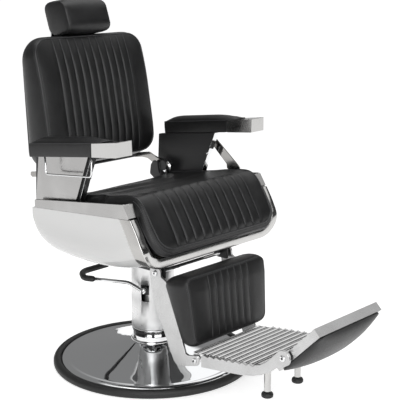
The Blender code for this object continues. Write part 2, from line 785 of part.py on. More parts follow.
CALF_TOP = Vector((0, -0.2930, 0.4000))
CALF_BOTTOM = Vector((0, -0.3400, 0.1850))
CALF_LEAN = math.atan2(CALF_TOP.y - CALF_BOTTOM.y, CALF_TOP.z - CALF_BOTTOM.z)
calf_middle = (CALF_TOP + CALF_BOTTOM) / 2
CALF_NORMAL = Vector((0, -math.cos(CALF_LEAN), math.sin(CALF_LEAN)))
leg_origin = (0, *LEG_PIVOT)
calf_taper = (-0.10, -0.1080)
finish("calf_pad", stand_up(
    cushion(0.188, 0.1080, 0.024, 0.058, 0.011, 0.010, taper=calf_taper),
    calf_middle + CALF_NORMAL * -0.0010, CALF_LEAN), "leather", origin=leg_origin)
finish("legrest_cross_tube", rod((-0.1695, -0.2290, 0.3000), (0.1695, -0.2290, 0.3000), 0.0080, 14),
       "black_steel", origin=leg_origin)


# ------------------------------------------------------------------ footplate

def tread_top(y):
    return 0.1660 + 0.112 * (-0.386 - y)


def sawtooth(start, count, peak, valley):
    """Side-view points of a row of ribs, from the rear forwards."""
    points = []
    for i in range(count):
        y = start - RIB_PITCH * i
        points.append((y, tread_top(y) + peak))
        points.append((y - RIB_PITCH * 0.70, tread_top(y - RIB_PITCH * 0.70) + valley))
    return points


foot_origin = (0, *FOOT_PIVOT)
ribs = sawtooth(-0.3420, 10, 0.0040, -0.0040)
last = ribs[-1][0] - RIB_PITCH * 0.30
tread_outline = ribs + [(last, tread_top(last) + 0.004), (last - 0.006, tread_top(last) - 0.004),
                        (last - 0.006, tread_top(last) - 0.0120), (-0.3760, 0.1530)]
tread_outline += arc(FOOT_PIVOT, 0.0115, 180, 360, 8) + [(-0.3440, 0.1530)]
tread = finish("footplate_tread", prism(tread_outline, -0.1670, 0.1670), "aluminium",
               origin=foot_origin)
cut(tread, rod((-0.17, *FOOT_PIVOT), (0.17, *FOOT_PIVOT), 0.0052, 20), "footplate_bore")
finish("footplate_pin", stepped_pin(FOOT_PIVOT, [
    (-0.1810, 0.0085), (-0.1790, 0.0085), (-0.1790, 0.0050), (0.1790, 0.0050), (0.1790, 0.0085),
    (0.1810, 0.0085)]), "brushed")


def make_rail(name, side):
    """A curved side rail: notched along the tread, then swept up to the flap's pivot."""
    top = sawtooth(-0.3940, 8, 0.0030, -0.0030)
    y, z = FLAP_PIVOT
    lobe = arc((y, z), 0.0250, 60, 250, 8)
    outline = top + [(-0.6020, 0.1935), (-0.6200, 0.1985), (-0.6450, 0.2150), (-0.6720, 0.2420)]
    outline += lobe
    outline += [(-0.6840, 0.2060), (-0.6590, 0.1860), (-0.6270, 0.1680), (-0.5950, 0.1560),
                (-0.5510, 0.1465), (-0.4640, 0.1360), (-0.3860, 0.1280), (-0.3860, 0.1640)]
    node = finish(name, flip(prism(outline, 0.1675, 0.1785), side), "aluminium",
                  origin=(side * 0.172, *FOOT_PIVOT), bevel=0.0010, segments=1)
    fuse(node, rod((side * 0.1560, y, z), (side * 0.1700, y, z), 0.0050, 20), name + "_pin")


both_sides("footplate_rail", make_rail)


def make_levelling_leg(name, side):
    """A threaded leg under the tread."""
    y = -0.5730
    low = 0.0670
    high = tread_top(y) - 0.0145
    finish(name, stacked([(0.0085, low), (0.0110, low + 0.002), (0.0110, high)], 16,
                         (side * 0.078, y)), "brushed", origin=(side * 0.078, y, low))


def make_levelling_foot(name, side):
    y = -0.5730
    finish(name, stacked([(0.0150, 0.0500), (0.0190, 0.0535), (0.0190, 0.0610), (0.0150, 0.0665)],
                         20, (side * 0.078, y)), "rubber", origin=(side * 0.078, y, 0.067))


both_sides("levelling_leg", make_levelling_leg)
both_sides("levelling_foot", make_levelling_foot)


# ------------------------------------------------------------------ flap

def flap_point(along, out):
    """A point of the flap's side view: along it from the pivot, and out towards its ribbed face."""
    y, z = FLAP_PIVOT
    c, s = math.cos(FLAP_TILT), math.sin(FLAP_TILT)
    return (y - along * c + out * s, z + along * s + out * c)


flap_ribs = []
for i in range(8):
    s = 0.1400 - 0.0215 * i
    flap_ribs += [(s, 0.0095), (s - 0.0150, 0.0066)]
flap_outline = [(0.1480, 0.0095)] + flap_ribs + [(-0.0360, 0.0066), (-0.0520, 0.0020),
                                                 (-0.0520, -0.0200), (0.1480, -0.0200)]
flap_origin = (0, *FLAP_PIVOT)
tray = finish("flap_tray", prism([flap_point(*p) for p in flap_outline], -0.1625, 0.1625),
              "aluminium", origin=flap_origin)
for side in (-1, 1):
    cut(tray, rod((side * 0.1550, *FLAP_PIVOT), (side * 0.1700, *FLAP_PIVOT), 0.0052, 20),
        "flap_bore")

pad = layered_pad(0.1580, 0.0960, 0.0200, [
    (0.0020, 0.0), (0.0, 0.0020), (0.0010, 0.0050), (0.0100, 0.0140), (0.0250, 0.0230),
    (0.0500, 0.0310), (0.0800, 0.0345)])
bmesh.ops.rotate(pad, verts=pad.verts, matrix=Matrix.Rotation(math.pi - FLAP_TILT, 3, "X"))
centre_y, centre_z = flap_point(0.0480, -0.0205)
bmesh.ops.translate(pad, verts=pad.verts, vec=(0, centre_y, centre_z))
finish("flap_pad", pad, "leather", origin=flap_origin)
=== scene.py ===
"""The look of the hydraulic barber chair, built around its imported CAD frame.

Metres, +Z up, the origin on the floor at the column's axis. The chair faces -Y and the sitter's
right is -X.
"""

import math

import bmesh
import bpy
import numpy as np
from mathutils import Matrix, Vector


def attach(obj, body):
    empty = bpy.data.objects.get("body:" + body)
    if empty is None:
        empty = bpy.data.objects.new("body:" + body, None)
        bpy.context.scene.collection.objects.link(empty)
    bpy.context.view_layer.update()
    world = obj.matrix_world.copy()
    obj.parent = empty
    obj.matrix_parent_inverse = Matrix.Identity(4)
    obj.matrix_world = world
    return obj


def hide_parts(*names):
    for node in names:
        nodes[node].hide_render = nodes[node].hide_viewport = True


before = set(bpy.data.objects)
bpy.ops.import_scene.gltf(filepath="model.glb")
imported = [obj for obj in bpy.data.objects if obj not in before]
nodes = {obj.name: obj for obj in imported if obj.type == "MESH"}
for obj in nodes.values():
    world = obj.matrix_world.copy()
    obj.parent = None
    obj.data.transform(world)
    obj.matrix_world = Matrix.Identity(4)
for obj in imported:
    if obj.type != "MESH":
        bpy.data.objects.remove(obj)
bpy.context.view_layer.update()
scene = bpy.context.scene

SIDES = (("right", -1), ("left", 1))


def new_object(name, data):
    thing = bpy.data.objects.new(name, data)
    scene.collection.objects.link(thing)
    return thing


# ------------------------------------------------------------------ camera and light

def aim(thing, place, target):
    thing.location = place
    thing.rotation_euler = (Vector(target) - Vector(place)).to_track_quat("-Z", "Y").to_euler()


camera_data = bpy.data.cameras.new("camera")
camera_data.sensor_width = 36.0
camera_data.lens = 93.55
camera = new_object("camera", camera_data)
CAMERA_PLACE = Vector((-2.4586, -2.4338, 1.3776))
CAMERA_FORWARD = Vector((0.72409, 0.65169, -0.22582))
aim(camera, CAMERA_PLACE, CAMERA_PLACE + CAMERA_FORWARD)
scene.camera = camera
scene.view_settings.view_transform = "Standard"


def area_light(name, place, target, width, height, power):
    data = bpy.data.lights.new(name, "AREA")
    data.shape = "RECTANGLE"
    data.size = width
    data.size_y = height
    data.energy = power
    aim(new_object(name, data), place, target)


area_light("key", (-3.0, -1.6, 2.6), (0.0, 0.0, 0.6), 1.8, 2.16, 26.0)
area_light("top", (0.1, 0.1, 3.4), (0.0, 0.0, 0.0), 2.4, 2.4, 24.0)


def link(tree, source, target):
    tree.links.new(source, target)


def add_node(tree, kind, **settings):
    node = tree.nodes.new(kind)
    for key, value in settings.items():
        setattr(node, key, value)
    return node


def math_node(tree, operation, first, second=None, third=None):
    node = add_node(tree, "ShaderNodeMath", operation=operation)
    for socket, value in zip(node.inputs, (first, second, third)):
        if value is None:
            continue
        if isinstance(value, (int, float)):
            socket.default_value = value
        else:
            link(tree, value, socket)
    return node.outputs[0]


def smooth_step(tree, value, low, high, to_low=0.0, to_high=1.0):
    node = add_node(tree, "ShaderNodeMapRange", interpolation_type="SMOOTHSTEP")
    link(tree, value, node.inputs["Value"])
    for key, number in (("From Min", low), ("From Max", high),
                        ("To Min", to_low), ("To Max", to_high)):
        node.inputs[key].default_value = number
    return node.outputs["Result"]


def background(tree, strength):
    node = add_node(tree, "ShaderNodeBackground")
    node.inputs["Color"].default_value = (1, 1, 1, 1)
    node.inputs["Strength"].default_value = strength
    return node


def mixed(tree, share, first, second):
    node = add_node(tree, "ShaderNodeMixShader")
    for socket, source in zip(node.inputs, (share, first, second)):
        link(tree, source, socket)
    return node.outputs[0]


def studio_world():
    """White to the eye, even for diffuse light, and a studio of light and dark for reflections."""
    world = bpy.data.worlds.new("studio")
    scene.world = world
    world.use_nodes = True
    tree = world.node_tree
    tree.nodes.clear()
    out = add_node(tree, "ShaderNodeOutputWorld")
    seen = background(tree, 1.1)
    diffuse = background(tree, 0.50)
    mirrored = background(tree, 1.0)
    place = add_node(tree, "ShaderNodeTexCoord")
    parts = add_node(tree, "ShaderNodeSeparateXYZ")
    link(tree, place.outputs["Generated"], parts.inputs[0])
    x, y, z = parts.outputs

    def region(sideways, forwards, narrow, wide, low, high, level):
        """A soft bright patch round a compass direction, between two heights."""
        near = math_node(tree, "ADD", math_node(tree, "MULTIPLY", x, sideways),
                         math_node(tree, "MULTIPLY", y, forwards))
        patch = math_node(tree, "MULTIPLY", smooth_step(tree, near, narrow, wide),
                          smooth_step(tree, z, low - 0.06, low + 0.06))
        return math_node(tree, "MULTIPLY", patch,
                         smooth_step(tree, z, high - 0.06, high + 0.06, level, 0.0))

    room = smooth_step(tree, y, -0.20, 0.40, 0.04, 0.24)
    left_box = region(-0.574, -0.819, 0.66, 0.78, 0.02, 0.68, 2.6)
    right_box = region(0.996, -0.087, 0.46, 0.60, 0.44, 0.86, 0.95)
    ceiling = smooth_step(tree, z, 0.80, 0.90, 0.0, 0.95)
    above = math_node(tree, "ADD", math_node(tree, "ADD", room, left_box),
                      math_node(tree, "ADD", right_box, ceiling))
    below = smooth_step(tree, z, -0.10, 0.0, 0.90, 0.0)
    upper = math_node(tree, "MULTIPLY", above, smooth_step(tree, z, -0.06, 0.02))
    level = math_node(tree, "ADD", below, upper)
    shade = add_node(tree, "ShaderNodeCombineColor")
    for socket in shade.inputs:
        link(tree, level, socket)
    link(tree, shade.outputs[0], mirrored.inputs["Color"])
    rays = add_node(tree, "ShaderNodeLightPath")
    unseen = mixed(tree, rays.outputs["Is Glossy Ray"], diffuse.outputs[0], mirrored.outputs[0])
    final = mixed(tree, rays.outputs["Is Camera Ray"], unseen, seen.outputs[0])
    link(tree, final, out.inputs["Surface"])


studio_world()


# ------------------------------------------------------------------ materials

def material_base(name, color, metallic, roughness):
    material = bpy.data.materials.new(name)
    material.use_nodes = True
    shader = material.node_tree.nodes["Principled BSDF"]
    shader.inputs["Base Color"].default_value = (*color, 1)
    shader.inputs["Metallic"].default_value = metallic
    shader.inputs["Roughness"].default_value = roughness
    return material, material.node_tree, shader


def stretched(tree, scale):
    """Object coordinates, in metres, times one number or one for each axis."""
    if isinstance(scale, (int, float)):
        scale = (scale, scale, scale)
    place = add_node(tree, "ShaderNodeTexCoord")
    mapping = add_node(tree, "ShaderNodeMapping")
    mapping.inputs["Scale"].default_value = scale
    link(tree, place.outputs["Object"], mapping.inputs["Vector"])
    return mapping.outputs["Vector"]


def noise(tree, scale, detail=3.0):
    node = add_node(tree, "ShaderNodeTexNoise")
    node.inputs["Scale"].default_value = 1.0
    node.inputs["Detail"].default_value = detail
    link(tree, stretched(tree, scale), node.inputs["Vector"])
    return node.outputs["Fac"]


def vary_roughness(tree, shader, value, low, high):
    link(tree, smooth_step(tree, value, 0.3, 0.7, low, high), shader.inputs["Roughness"])


def vary_color(tree, shader, value, first, second, low=0.35, high=0.65):
    ramp = add_node(tree, "ShaderNodeMix", data_type="RGBA")
    link(tree, smooth_step(tree, value, low, high), ramp.inputs["Factor"])
    ramp.inputs["A"].default_value = (*first, 1)
    ramp.inputs["B"].default_value = (*second, 1)
    link(tree, ramp.outputs["Result"], shader.inputs["Base Color"])


def bump(tree, shader, height, strength, distance, after=None):
    node = add_node(tree, "ShaderNodeBump")
    node.inputs["Strength"].default_value = strength
    node.inputs["Distance"].default_value = distance
    link(tree, height, node.inputs["Height"])
    if after is not None:
        link(tree, after, node.inputs["Normal"])
    link(tree, node.outputs["Normal"], shader.inputs["Normal"])
    return node.outputs["Normal"]


def leather_material():
    material, tree, shader = material_base("black_leather", (0.007, 0.007, 0.0075), 0.0, 0.42)
    pores = add_node(tree, "ShaderNodeTexVoronoi", feature="DISTANCE_TO_EDGE")
    pores.inputs["Scale"].default_value = 1.0
    link(tree, stretched(tree, 620), pores.inputs["Vector"])
    cells = smooth_step(tree, pores.outputs["Distance"], 0.0, 0.25)
    soft = noise(tree, 26, 4.0)
    vary_color(tree, shader, soft, (0.0052, 0.0052, 0.0056), (0.0088, 0.0088, 0.0094))
    rough = math_node(tree, "MULTIPLY_ADD", cells, -0.08, 0.42)
    link(tree, math_node(tree, "MULTIPLY_ADD", noise(tree, 70), 0.10,
                         math_node(tree, "SUBTRACT", rough, 0.05)), shader.inputs["Roughness"])
    grain = bump(tree, shader, cells, 0.30, 0.00025)
    bump(tree, shader, noise(tree, 160, 5.0), 0.25, 0.0004, grain)
    shader.inputs["Specular IOR Level"].default_value = 0.45
    return material


def brushed_material(name, color, roughness, metallic=1.0):
    """A surface with fine lines that run along Y."""
    material, tree, shader = material_base(name, color, metallic, roughness)
    lines = noise(tree, (700.0, 6.0, 700.0), 2.0)
    vary_roughness(tree, shader, lines, roughness - 0.05, roughness + 0.06)
    vary_color(tree, shader, noise(tree, 9, 2.0), tuple(c * 0.90 for c in color), color)
    bump(tree, shader, lines, 0.10, 0.00010)
    return material


def chrome_material(name, color, roughness):
    material, tree, shader = material_base(name, color, 1.0, roughness)
    smudge = noise(tree, 14, 4.0)
    vary_roughness(tree, shader, smudge, roughness * 0.6, roughness * 1.5)
    bump(tree, shader, noise(tree, 22, 1.0), 0.05, 0.0008)
    return material


def grainy_material(name, color, roughness, metallic, grain, cloud, darkest, strength, depth):
    """A colour with a fine grain in its gloss and faint clouds over it."""
    material, tree, shader = material_base(name, color, metallic, roughness)
    grains = noise(tree, grain, 4.0)
    vary_roughness(tree, shader, grains, roughness - 0.06, roughness + 0.08)
    vary_color(tree, shader, noise(tree, cloud), tuple(c * darkest for c in color), color)
    bump(tree, shader, grains, strength, depth)
    return material


def cast_material(name, level, roughness):
    return grainy_material(name, (level, level, level), roughness, 1.0, 520, 16, 0.92, 0.12, 0.00015)


def plain_material(name, color, roughness, metallic=0.0):
    return grainy_material(name, color, roughness, metallic, 300, 12, 0.85, 0.2, 0.0002)


def gloss_material():
    material, tree, shader = material_base("white_gloss", (0.62, 0.62, 0.61), 0.0, 0.25)
    vary_roughness(tree, shader, noise(tree, 8, 2.0), 0.24, 0.27)
    place = add_node(tree, "ShaderNodeTexCoord")
    parts = add_node(tree, "ShaderNodeSeparateXYZ")
    link(tree, place.outputs["Object"], parts.inputs[0])
    # Painted shade: the white shell's colour darkens towards its bottom, from z 0.58 down to 0.41.
    vary_color(tree, shader, parts.outputs[2], (0.54, 0.54, 0.535), (0.66, 0.66, 0.655), 0.41, 0.58)
    shader.inputs["Coat Weight"].default_value = 0.6
    shader.inputs["Coat Roughness"].default_value = 0.08
    return material


LEATHER = leather_material()
# Thread a little lighter than the leather: the stitches' own colour, and in the groove lines a
# painted highlight as well.
THREAD_AND_HIGHLIGHT = plain_material("black_thread", (0.085, 0.085, 0.088), 0.6)
# Real piping, its colour lightened above the leather's to paint in the highlight along its rounded
# welts.
PIPING_PAINTED_HIGHLIGHT = plain_material("black_piping", (0.030, 0.030, 0.032), 0.34)
CHROME = chrome_material("chrome", (0.78, 0.785, 0.79), 0.05)
DIM_CHROME = chrome_material("grey_chrome", (0.36, 0.35, 0.34), 0.14)
MIRROR = chrome_material("mirror_chrome", (0.80, 0.81, 0.82), 0.03)
SURROUND = chrome_material("polished_band", (0.58, 0.575, 0.565), 0.16)
# A darker copy of the polished band: painted shade for the surround's side faces.
SHADED_SIDE_BAND = chrome_material("polished_side", (0.46, 0.452, 0.44), 0.14)
SATIN_CHROME = chrome_material("satin_chrome", (0.70, 0.70, 0.70), 0.36)
BRUSHED = brushed_material("brushed_steel", (0.46, 0.455, 0.45), 0.19)
ALUMINIUM = cast_material("satin_aluminium", 0.56, 0.30)
RIB_METAL = cast_material("rib_aluminium", 0.80, 0.28)
# Near-black metal for the tread's flat faces: painted shade between the ribs.
TREAD_PAINTED_SHADE = cast_material("dark_aluminium", 0.06, 0.45)
WHITE = gloss_material()
RUBBER = plain_material("black_rubber", (0.012, 0.012, 0.012), 0.55)
PLASTIC = plain_material("black_plastic", (0.013, 0.013, 0.014), 0.42)
STEEL = plain_material("black_steel", (0.020, 0.020, 0.021), 0.40)
IRON = plain_material("cast_iron", (0.040, 0.040, 0.040), 0.65, 0.3)
WOOD = brushed_material("plywood", (0.40, 0.28, 0.16), 0.60, 0.0)


# ------------------------------------------------------------------ floor

def make_floor():
    mesh = bmesh.new()
    bmesh.ops.create_circle(mesh, cap_ends=True, segments=128, radius=60.0)
    data = bpy.data.meshes.new("floor")
    mesh.to_mesh(data)
    mesh.free()
    floor = new_object("floor", data)
    floor.location = (0, 0, -0.0002)
    material, tree, shader = material_base("pale_floor", (0.93, 0.93, 0.93), 0.0, 0.8)
    vary_color(tree, shader, noise(tree, 3, 2.0), (0.92, 0.92, 0.92), (0.94, 0.94, 0.94))
    shader.inputs["Specular IOR Level"].default_value = 0.0
    shader.inputs["Emission Color"].default_value = (1, 1, 1, 1)
    shader.inputs["Emission Strength"].default_value = 0.58
    data.materials.append(material)


make_floor()


# ------------------------------------------------------------------ CAD nodes that stay

def both(*names):
    """The names of the right and the left node of each pair."""
    return [name + "_" + label for name in names for label, _ in SIDES]


KEPT = {
    BRUSHED: both("arm_plate", "side_trim"),
    SATIN_CHROME: ["pump_cylinder", "footplate_pin"],
    DIM_CHROME: both("back_hinge_arm") + ["recline_lever"],
    CHROME: ["piston_rod", "headrest_post", "headrest_hinge", "recline_rod", "legrest_shaft"],
    ALUMINIUM: both("legrest_arm", "footplate_rail") + ["flap_tray"],
    PLASTIC: both("arm_panel") + ["guide_bush", "back_panel"],
    STEEL: both("headrest_guide", "back_pivot", "legrest_slide") + [
        "mounting_plate", "seat_frame", "back_cross_tube", "recline_cylinder",
        "legrest_cross_tube"],
    IRON: ["base_plate", "pump_head"],
    WOOD: ["seat_board"],
}
for material, names in KEPT.items():
    for name in names:
        data = nodes[name].data
        data.materials.clear()
        data.materials.append(material)


# ------------------------------------------------------------------ mesh helpers

def shade(data, smooth=True):
    data.polygons.foreach_set("use_smooth", [smooth] * len(data.polygons))


def crisp(data, degrees):
    """Keeps the edges that turn by more than this angle sharp."""
    data.set_sharp_from_angle(angle=math.radians(degrees))


def mesh_piece(name, points, faces, material, body, slot, replaces=(), smooth=True):
    """A new piece from points and faces, facing outwards, that rides on a body."""
    data = bpy.data.meshes.new(name)
    data.from_pydata([tuple(map(float, p)) for p in points], [], faces)
    work = bmesh.new()
    work.from_mesh(data)
    bmesh.ops.recalc_face_normals(work, faces=work.faces)
    if work.calc_volume(signed=True) < 0:
        bmesh.ops.reverse_faces(work, faces=work.faces)
    work.to_mesh(data)
    work.free()
    shade(data, smooth)
    data.materials.append(material)
    piece = new_object(name, data)
    settle(piece, body, replaces)
    return piece


def settle(piece, body, replaces=()):
    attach(piece, body)
    if replaces:
        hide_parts(*replaces)


def loft(rings, closed=False, caps=True):
    """Points and faces of a skin over rings of equal length."""
    rings = np.asarray(rings, float)
    count, size = rings.shape[:2]
    faces = []
    for r in range(count if closed else count - 1):
        a, b = r * size, ((r + 1) % count) * size
        for i in range(size):
            j = (i + 1) % size
            faces.append((a + i, a + j, b + j, b + i))
    if caps and not closed:
        faces.append(tuple(range(size)))
        faces.append(tuple((count - 1) * size + i for i in range(size)))
    return rings.reshape(-1, 3), faces


def joined(skins):
    """The points and faces of several skins as one."""
    points, faces = [], []
    for skin_points, skin_faces in skins:
        base = len(points)
        points.extend(skin_points)
        faces.extend([tuple(base + i for i in face) for face in skin_faces])
    return points, faces


def grid_faces(rows, columns, base=0):
    """The squares of a grid of points that are numbered row by row."""
    corners = [base + i * columns + j for i in range(rows - 1) for j in range(columns - 1)]
    return [(a, a + 1, a + columns + 1, a + columns) for a in corners]


def round_edges(piece, width, segments):
    rounding = piece.modifiers.new("rounding", "BEVEL")
    rounding.width = width
    rounding.segments = segments
    rounding.limit_method = "ANGLE"


def run_along(path):
    """How far along a path each of its points lies."""
    return np.concatenate([[0], np.cumsum(np.linalg.norm(np.diff(path, axis=0), axis=1))])


def filleted(points, radius, steps=5, closed=True):
    """A 2-D outline with its corners rounded."""
    points = [np.array(p, float) for p in points]
    result = []
    count = len(points)
    for i in range(count):
        corner = points[i]
        if not closed and i in (0, count - 1):
            result.append(corner)
            continue
        before, after = points[i - 1] - corner, points[(i + 1) % count] - corner
        reach = min(radius, np.linalg.norm(before) * 0.45, np.linalg.norm(after) * 0.45)
        start = corner + before / np.linalg.norm(before) * reach
        end = corner + after / np.linalg.norm(after) * reach
        for k in range(steps + 1):
            t = k / steps
            result.append(start * (1 - t) ** 2 + corner * 2 * t * (1 - t) + end * t ** 2)
    return result


def turned(name, profile, material, body, slot, replaces=(), steps=160, centre=(0.0, 0.0)):
    """A closed (radius, z) outline turned about a vertical axis."""
    angles = np.linspace(0, 2 * np.pi, steps, endpoint=False)
    outline = np.array(profile)
    rings = [[(centre[0] + r * math.cos(a), centre[1] + r * math.sin(a), z) for r, z in outline]
             for a in angles]
    points, faces = loft(rings, closed=True)
    return mesh_piece(name, points, faces, material, body, slot, replaces)


def tube_rings(path, radius, sides=12, closed=False):
    path = np.asarray(path, float)
    count = len(path)
    if closed:
        along = np.roll(path, -1, 0) - np.roll(path, 1, 0)
    else:
        along = np.gradient(path, axis=0)
    along /= np.linalg.norm(along, axis=1)[:, None]
    helper = np.array((0.0, 0.0, 1.0)) if abs(along[0][2]) < 0.9 else np.array((1.0, 0.0, 0.0))
    across = np.cross(along[0], helper)
    rings = []
    angles = np.linspace(0, 2 * np.pi, sides, endpoint=False)
    for i in range(count):
        across = across - along[i] * across.dot(along[i])
        across /= np.linalg.norm(across)
        third = np.cross(along[i], across)
        size = radius[i] if np.ndim(radius) else radius
        rings.append([path[i] + size * (math.cos(a) * across + math.sin(a) * third)
                      for a in angles])
    return rings


def tube(name, path, radius, material, body, slot, replaces=(), sides=12, closed=False):
    points, faces = loft(tube_rings(path, radius, sides, closed), closed)
    return mesh_piece(name, points, faces, material, body, slot, replaces)


def bent_path(points, radius, steps=8):
    """A 3-D path with its inner corners rounded."""
    return filleted(points, radius, steps, closed=False)


# ------------------------------------------------------------------ padded pieces

def perimeter(rows, columns):
    """Indices of a grid's border, in order."""
    loop = [(0, j) for j in range(columns)]
    loop += [(i, columns - 1) for i in range(1, rows)]
    loop += [(rows - 1, j) for j in range(columns - 2, -1, -1)]
    loop += [(i, 0) for i in range(rows - 2, 0, -1)]
    return loop


def unit(vectors):
    return vectors / np.linalg.norm(vectors, axis=-1)[..., None]


class Pad:
    """A closed skin: a front grid and a back grid joined by border rows.

    border lists (share of the depth, share of the inset, swell in metres) from front to back.
    reach scales the swell at each point of the front grid.
    """

    def __init__(self, front, back, border, reach=None, straight=True):
        rows, columns = front.shape[:2]
        self.shape = (rows, columns)
        self.loop = perimeter(rows, columns)
        self.front = front
        start = np.array([front[i, j] for i, j in self.loop])
        end = np.array([back[i, j] for i, j in self.loop])
        depth = end - start
        if straight:
            axis = unit(back.reshape(-1, 3).mean(0) - front.reshape(-1, 3).mean(0))
            along = (depth @ axis)[:, None] * axis
        else:
            axis = unit(depth)
            along = depth
        inset = depth - along
        tangent = np.roll(start, -1, 0) - np.roll(start, 1, 0)
        outward = unit(np.cross(tangent, axis))
        if np.einsum("ij,ij->i", outward, start - start.mean(0)).sum() < 0:
            outward = -outward
        self.outward = outward
        factor = np.ones(len(self.loop))
        if reach is not None:
            factor = np.array([reach[i, j] for i, j in self.loop])
        self.rings = [start]
        points = list(front.reshape(-1, 3))
        ids = [[i * columns + j for i, j in self.loop]]
        for share, inward, swell in border:
            ring = start + along * share + inset * inward + outward * (swell * factor)[:, None]
            self.rings.append(ring)
            ids.append(list(range(len(points), len(points) + len(self.loop))))
            points.extend(ring)
        offset = len(points)
        points.extend(back.reshape(-1, 3))
        ids.append([offset + i * columns + j for i, j in self.loop])
        self.back_start = offset
        faces = grid_faces(rows, columns) + grid_faces(rows, columns, offset)
        count = len(self.loop)
        for first, second in zip(ids, ids[1:]):
            for k in range(count):
                m = (k + 1) % count
                faces.append((first[k], first[m], second[m], second[k]))
        self.points = np.array(points)
        self.faces = faces
        self.pins = set(ids[0]) | set(range(offset, len(points)))

    def pin_columns(self, picked, first_row=0):
        for i in range(first_row, self.shape[0]):
            self.pins |= {i * self.shape[1] + j for j in picked}


def groove_columns(xs, grooves):
    return [j for j, x in enumerate(xs) if any(abs(x - g) < 1e-6 for g in grooves)]


def column_places(half_width, corner, grooves):
    """X places of a panel's columns: dense at the round corners and at each groove."""
    edge = [half_width - corner * (1 - math.cos(math.radians(a)))
            for a in (0, 15, 30, 45, 60, 75, 90)]
    first = max(grooves) if grooves else 0.0
    steps = max(2, int((edge[-1] - first) / 0.011))
    side = edge + list(np.linspace(edge[-1], first, steps + 1)[1:-1])
    if not grooves:
        middle = [0.0]
    else:
        middle = []
        for left, right in zip(grooves, grooves[1:]):
            middle += [left + (right - left) * t
                       for t in (0, 0.05, 0.14, 0.30, 0.5, 0.70, 0.86, 0.95)]
        middle.append(grooves[-1])
    return np.array([-x for x in side] + middle + side[::-1])


def rib_profile(x, grooves):
    """0 at each groove and 1 in the middle of each rib; outside them it climbs from the groove."""
    value = np.ones_like(x)
    for left, right in zip(grooves, grooves[1:]):
        t = np.clip((x - left) / (right - left), 0, 1)
        inside = (x >= left) & (x <= right)
        value = np.where(inside, (1 - np.abs(2 * t - 1) ** 2.4) ** 0.6, value)
    outside = np.clip((np.abs(x) - grooves[-1]) / 0.014, 0, 1)
    return np.where(np.abs(x) > grooves[-1], np.sin(outside * np.pi / 2) ** 0.8, value)


def panel(half_width, half_height, corner, grooves, rows=44):
    """(x, y) places of a panel with round corners, as rows of columns from the bottom up."""
    xs = column_places(half_width, corner, grooves)
    beyond = np.clip(np.abs(xs) - (half_width - corner), 0, corner)
    tops = half_height - corner + np.sqrt(np.maximum(corner ** 2 - beyond ** 2, 0))
    t = np.linspace(-1, 1, rows)
    t = np.sign(t) * (1 - (1 - np.abs(t)) ** 1.25)
    return np.broadcast_to(xs, (rows, len(xs))).copy(), t[:, None] * tops[None, :]


def crown(x, y, half_width, half_height, power, sharp):
    across = np.clip(1 - np.abs(x / half_width) ** power, 0, 1)
    down = np.clip(1 - np.abs(y / half_height) ** power, 0, 1)
    return (across * down) ** sharp


def grid_points(x, y, z):
    """A grid of points from x, y and z, each stretched to the size of the grid."""
    return np.stack(np.broadcast_arrays(x, y, z), -1)


def leaning(points, centre, tilt):
    """(x, up, forward) places turned to stand at a centre, leaning back by tilt."""
    up = np.array((0, math.sin(tilt), math.cos(tilt)))
    forward = np.array((0, -math.cos(tilt), math.sin(tilt)))
    across = np.array((1.0, 0, 0))
    points = np.asarray(points)
    return (np.asarray(centre) + points[..., :1] * across + points[..., 1:2] * up
            + points[..., 2:] * forward)


CLOTH = {"quality": 5, "mass": 0.3, "tension_stiffness": 15, "compression_stiffness": 15,
         "shear_stiffness": 8, "bending_stiffness": 4.0, "use_pressure": True,
         "vertex_group_mass": "seams"}
CLOTH_FRAMES = 20
SMOOTHING_PASSES = 6


def inflate(piece, pinned, pressure, cap):
    """Blows the cover up between its pinned seams with a short cloth simulation."""
    group = piece.vertex_groups.new(name="seams")
    group.add([int(i) for i in pinned], 1.0, "REPLACE")
    before = np.array([v.co for v in piece.data.vertices])
    cloth = piece.modifiers.new("cloth", "CLOTH")
    for key, value in CLOTH.items():
        setattr(cloth.settings, key, value)
    cloth.settings.uniform_pressure_force = pressure
    cloth.settings.effector_weights.gravity = 0
    cloth.point_cache.frame_start = 1
    cloth.point_cache.frame_end = CLOTH_FRAMES
    for step in range(1, CLOTH_FRAMES + 1):
        scene.frame_set(step)
    graph = bpy.context.evaluated_depsgraph_get()
    result = piece.evaluated_get(graph).to_mesh()
    after = np.array([v.co for v in result.vertices])
    piece.evaluated_get(graph).to_mesh_clear()
    piece.modifiers.remove(cloth)
    scene.frame_set(1)
    move = after - before
    ends = np.array([edge.vertices[:] for edge in piece.data.edges])
    count = np.bincount(ends.ravel(), minlength=len(move))[:, None]
    free = np.ones((len(move), 1))
    free[pinned] = 0
    for _ in range(SMOOTHING_PASSES):
        total = np.zeros_like(move)
        np.add.at(total, ends[:, 0], move[ends[:, 1]])
        np.add.at(total, ends[:, 1], move[ends[:, 0]])
        move = free * (0.4 * move + 0.6 * total / count)
    far = np.linalg.norm(move, axis=1)
    move *= np.minimum(1, cap / np.maximum(far, 1e-9))[:, None]
    piece.data.vertices.foreach_set("co", (before + move).ravel())
    piece.data.update()


def sewn_pad(name, pad, body, replaces, pressure=4.0, cap=0.0020):
    piece = mesh_piece(name, pad.points, pad.faces, LEATHER, body, "upholstery", replaces)
    inflate(piece, sorted(pad.pins), pressure, cap)
    rounding = piece.modifiers.new("rounding", "SUBSURF")
    rounding.levels = 1
    rounding.render_levels = 1
    return piece


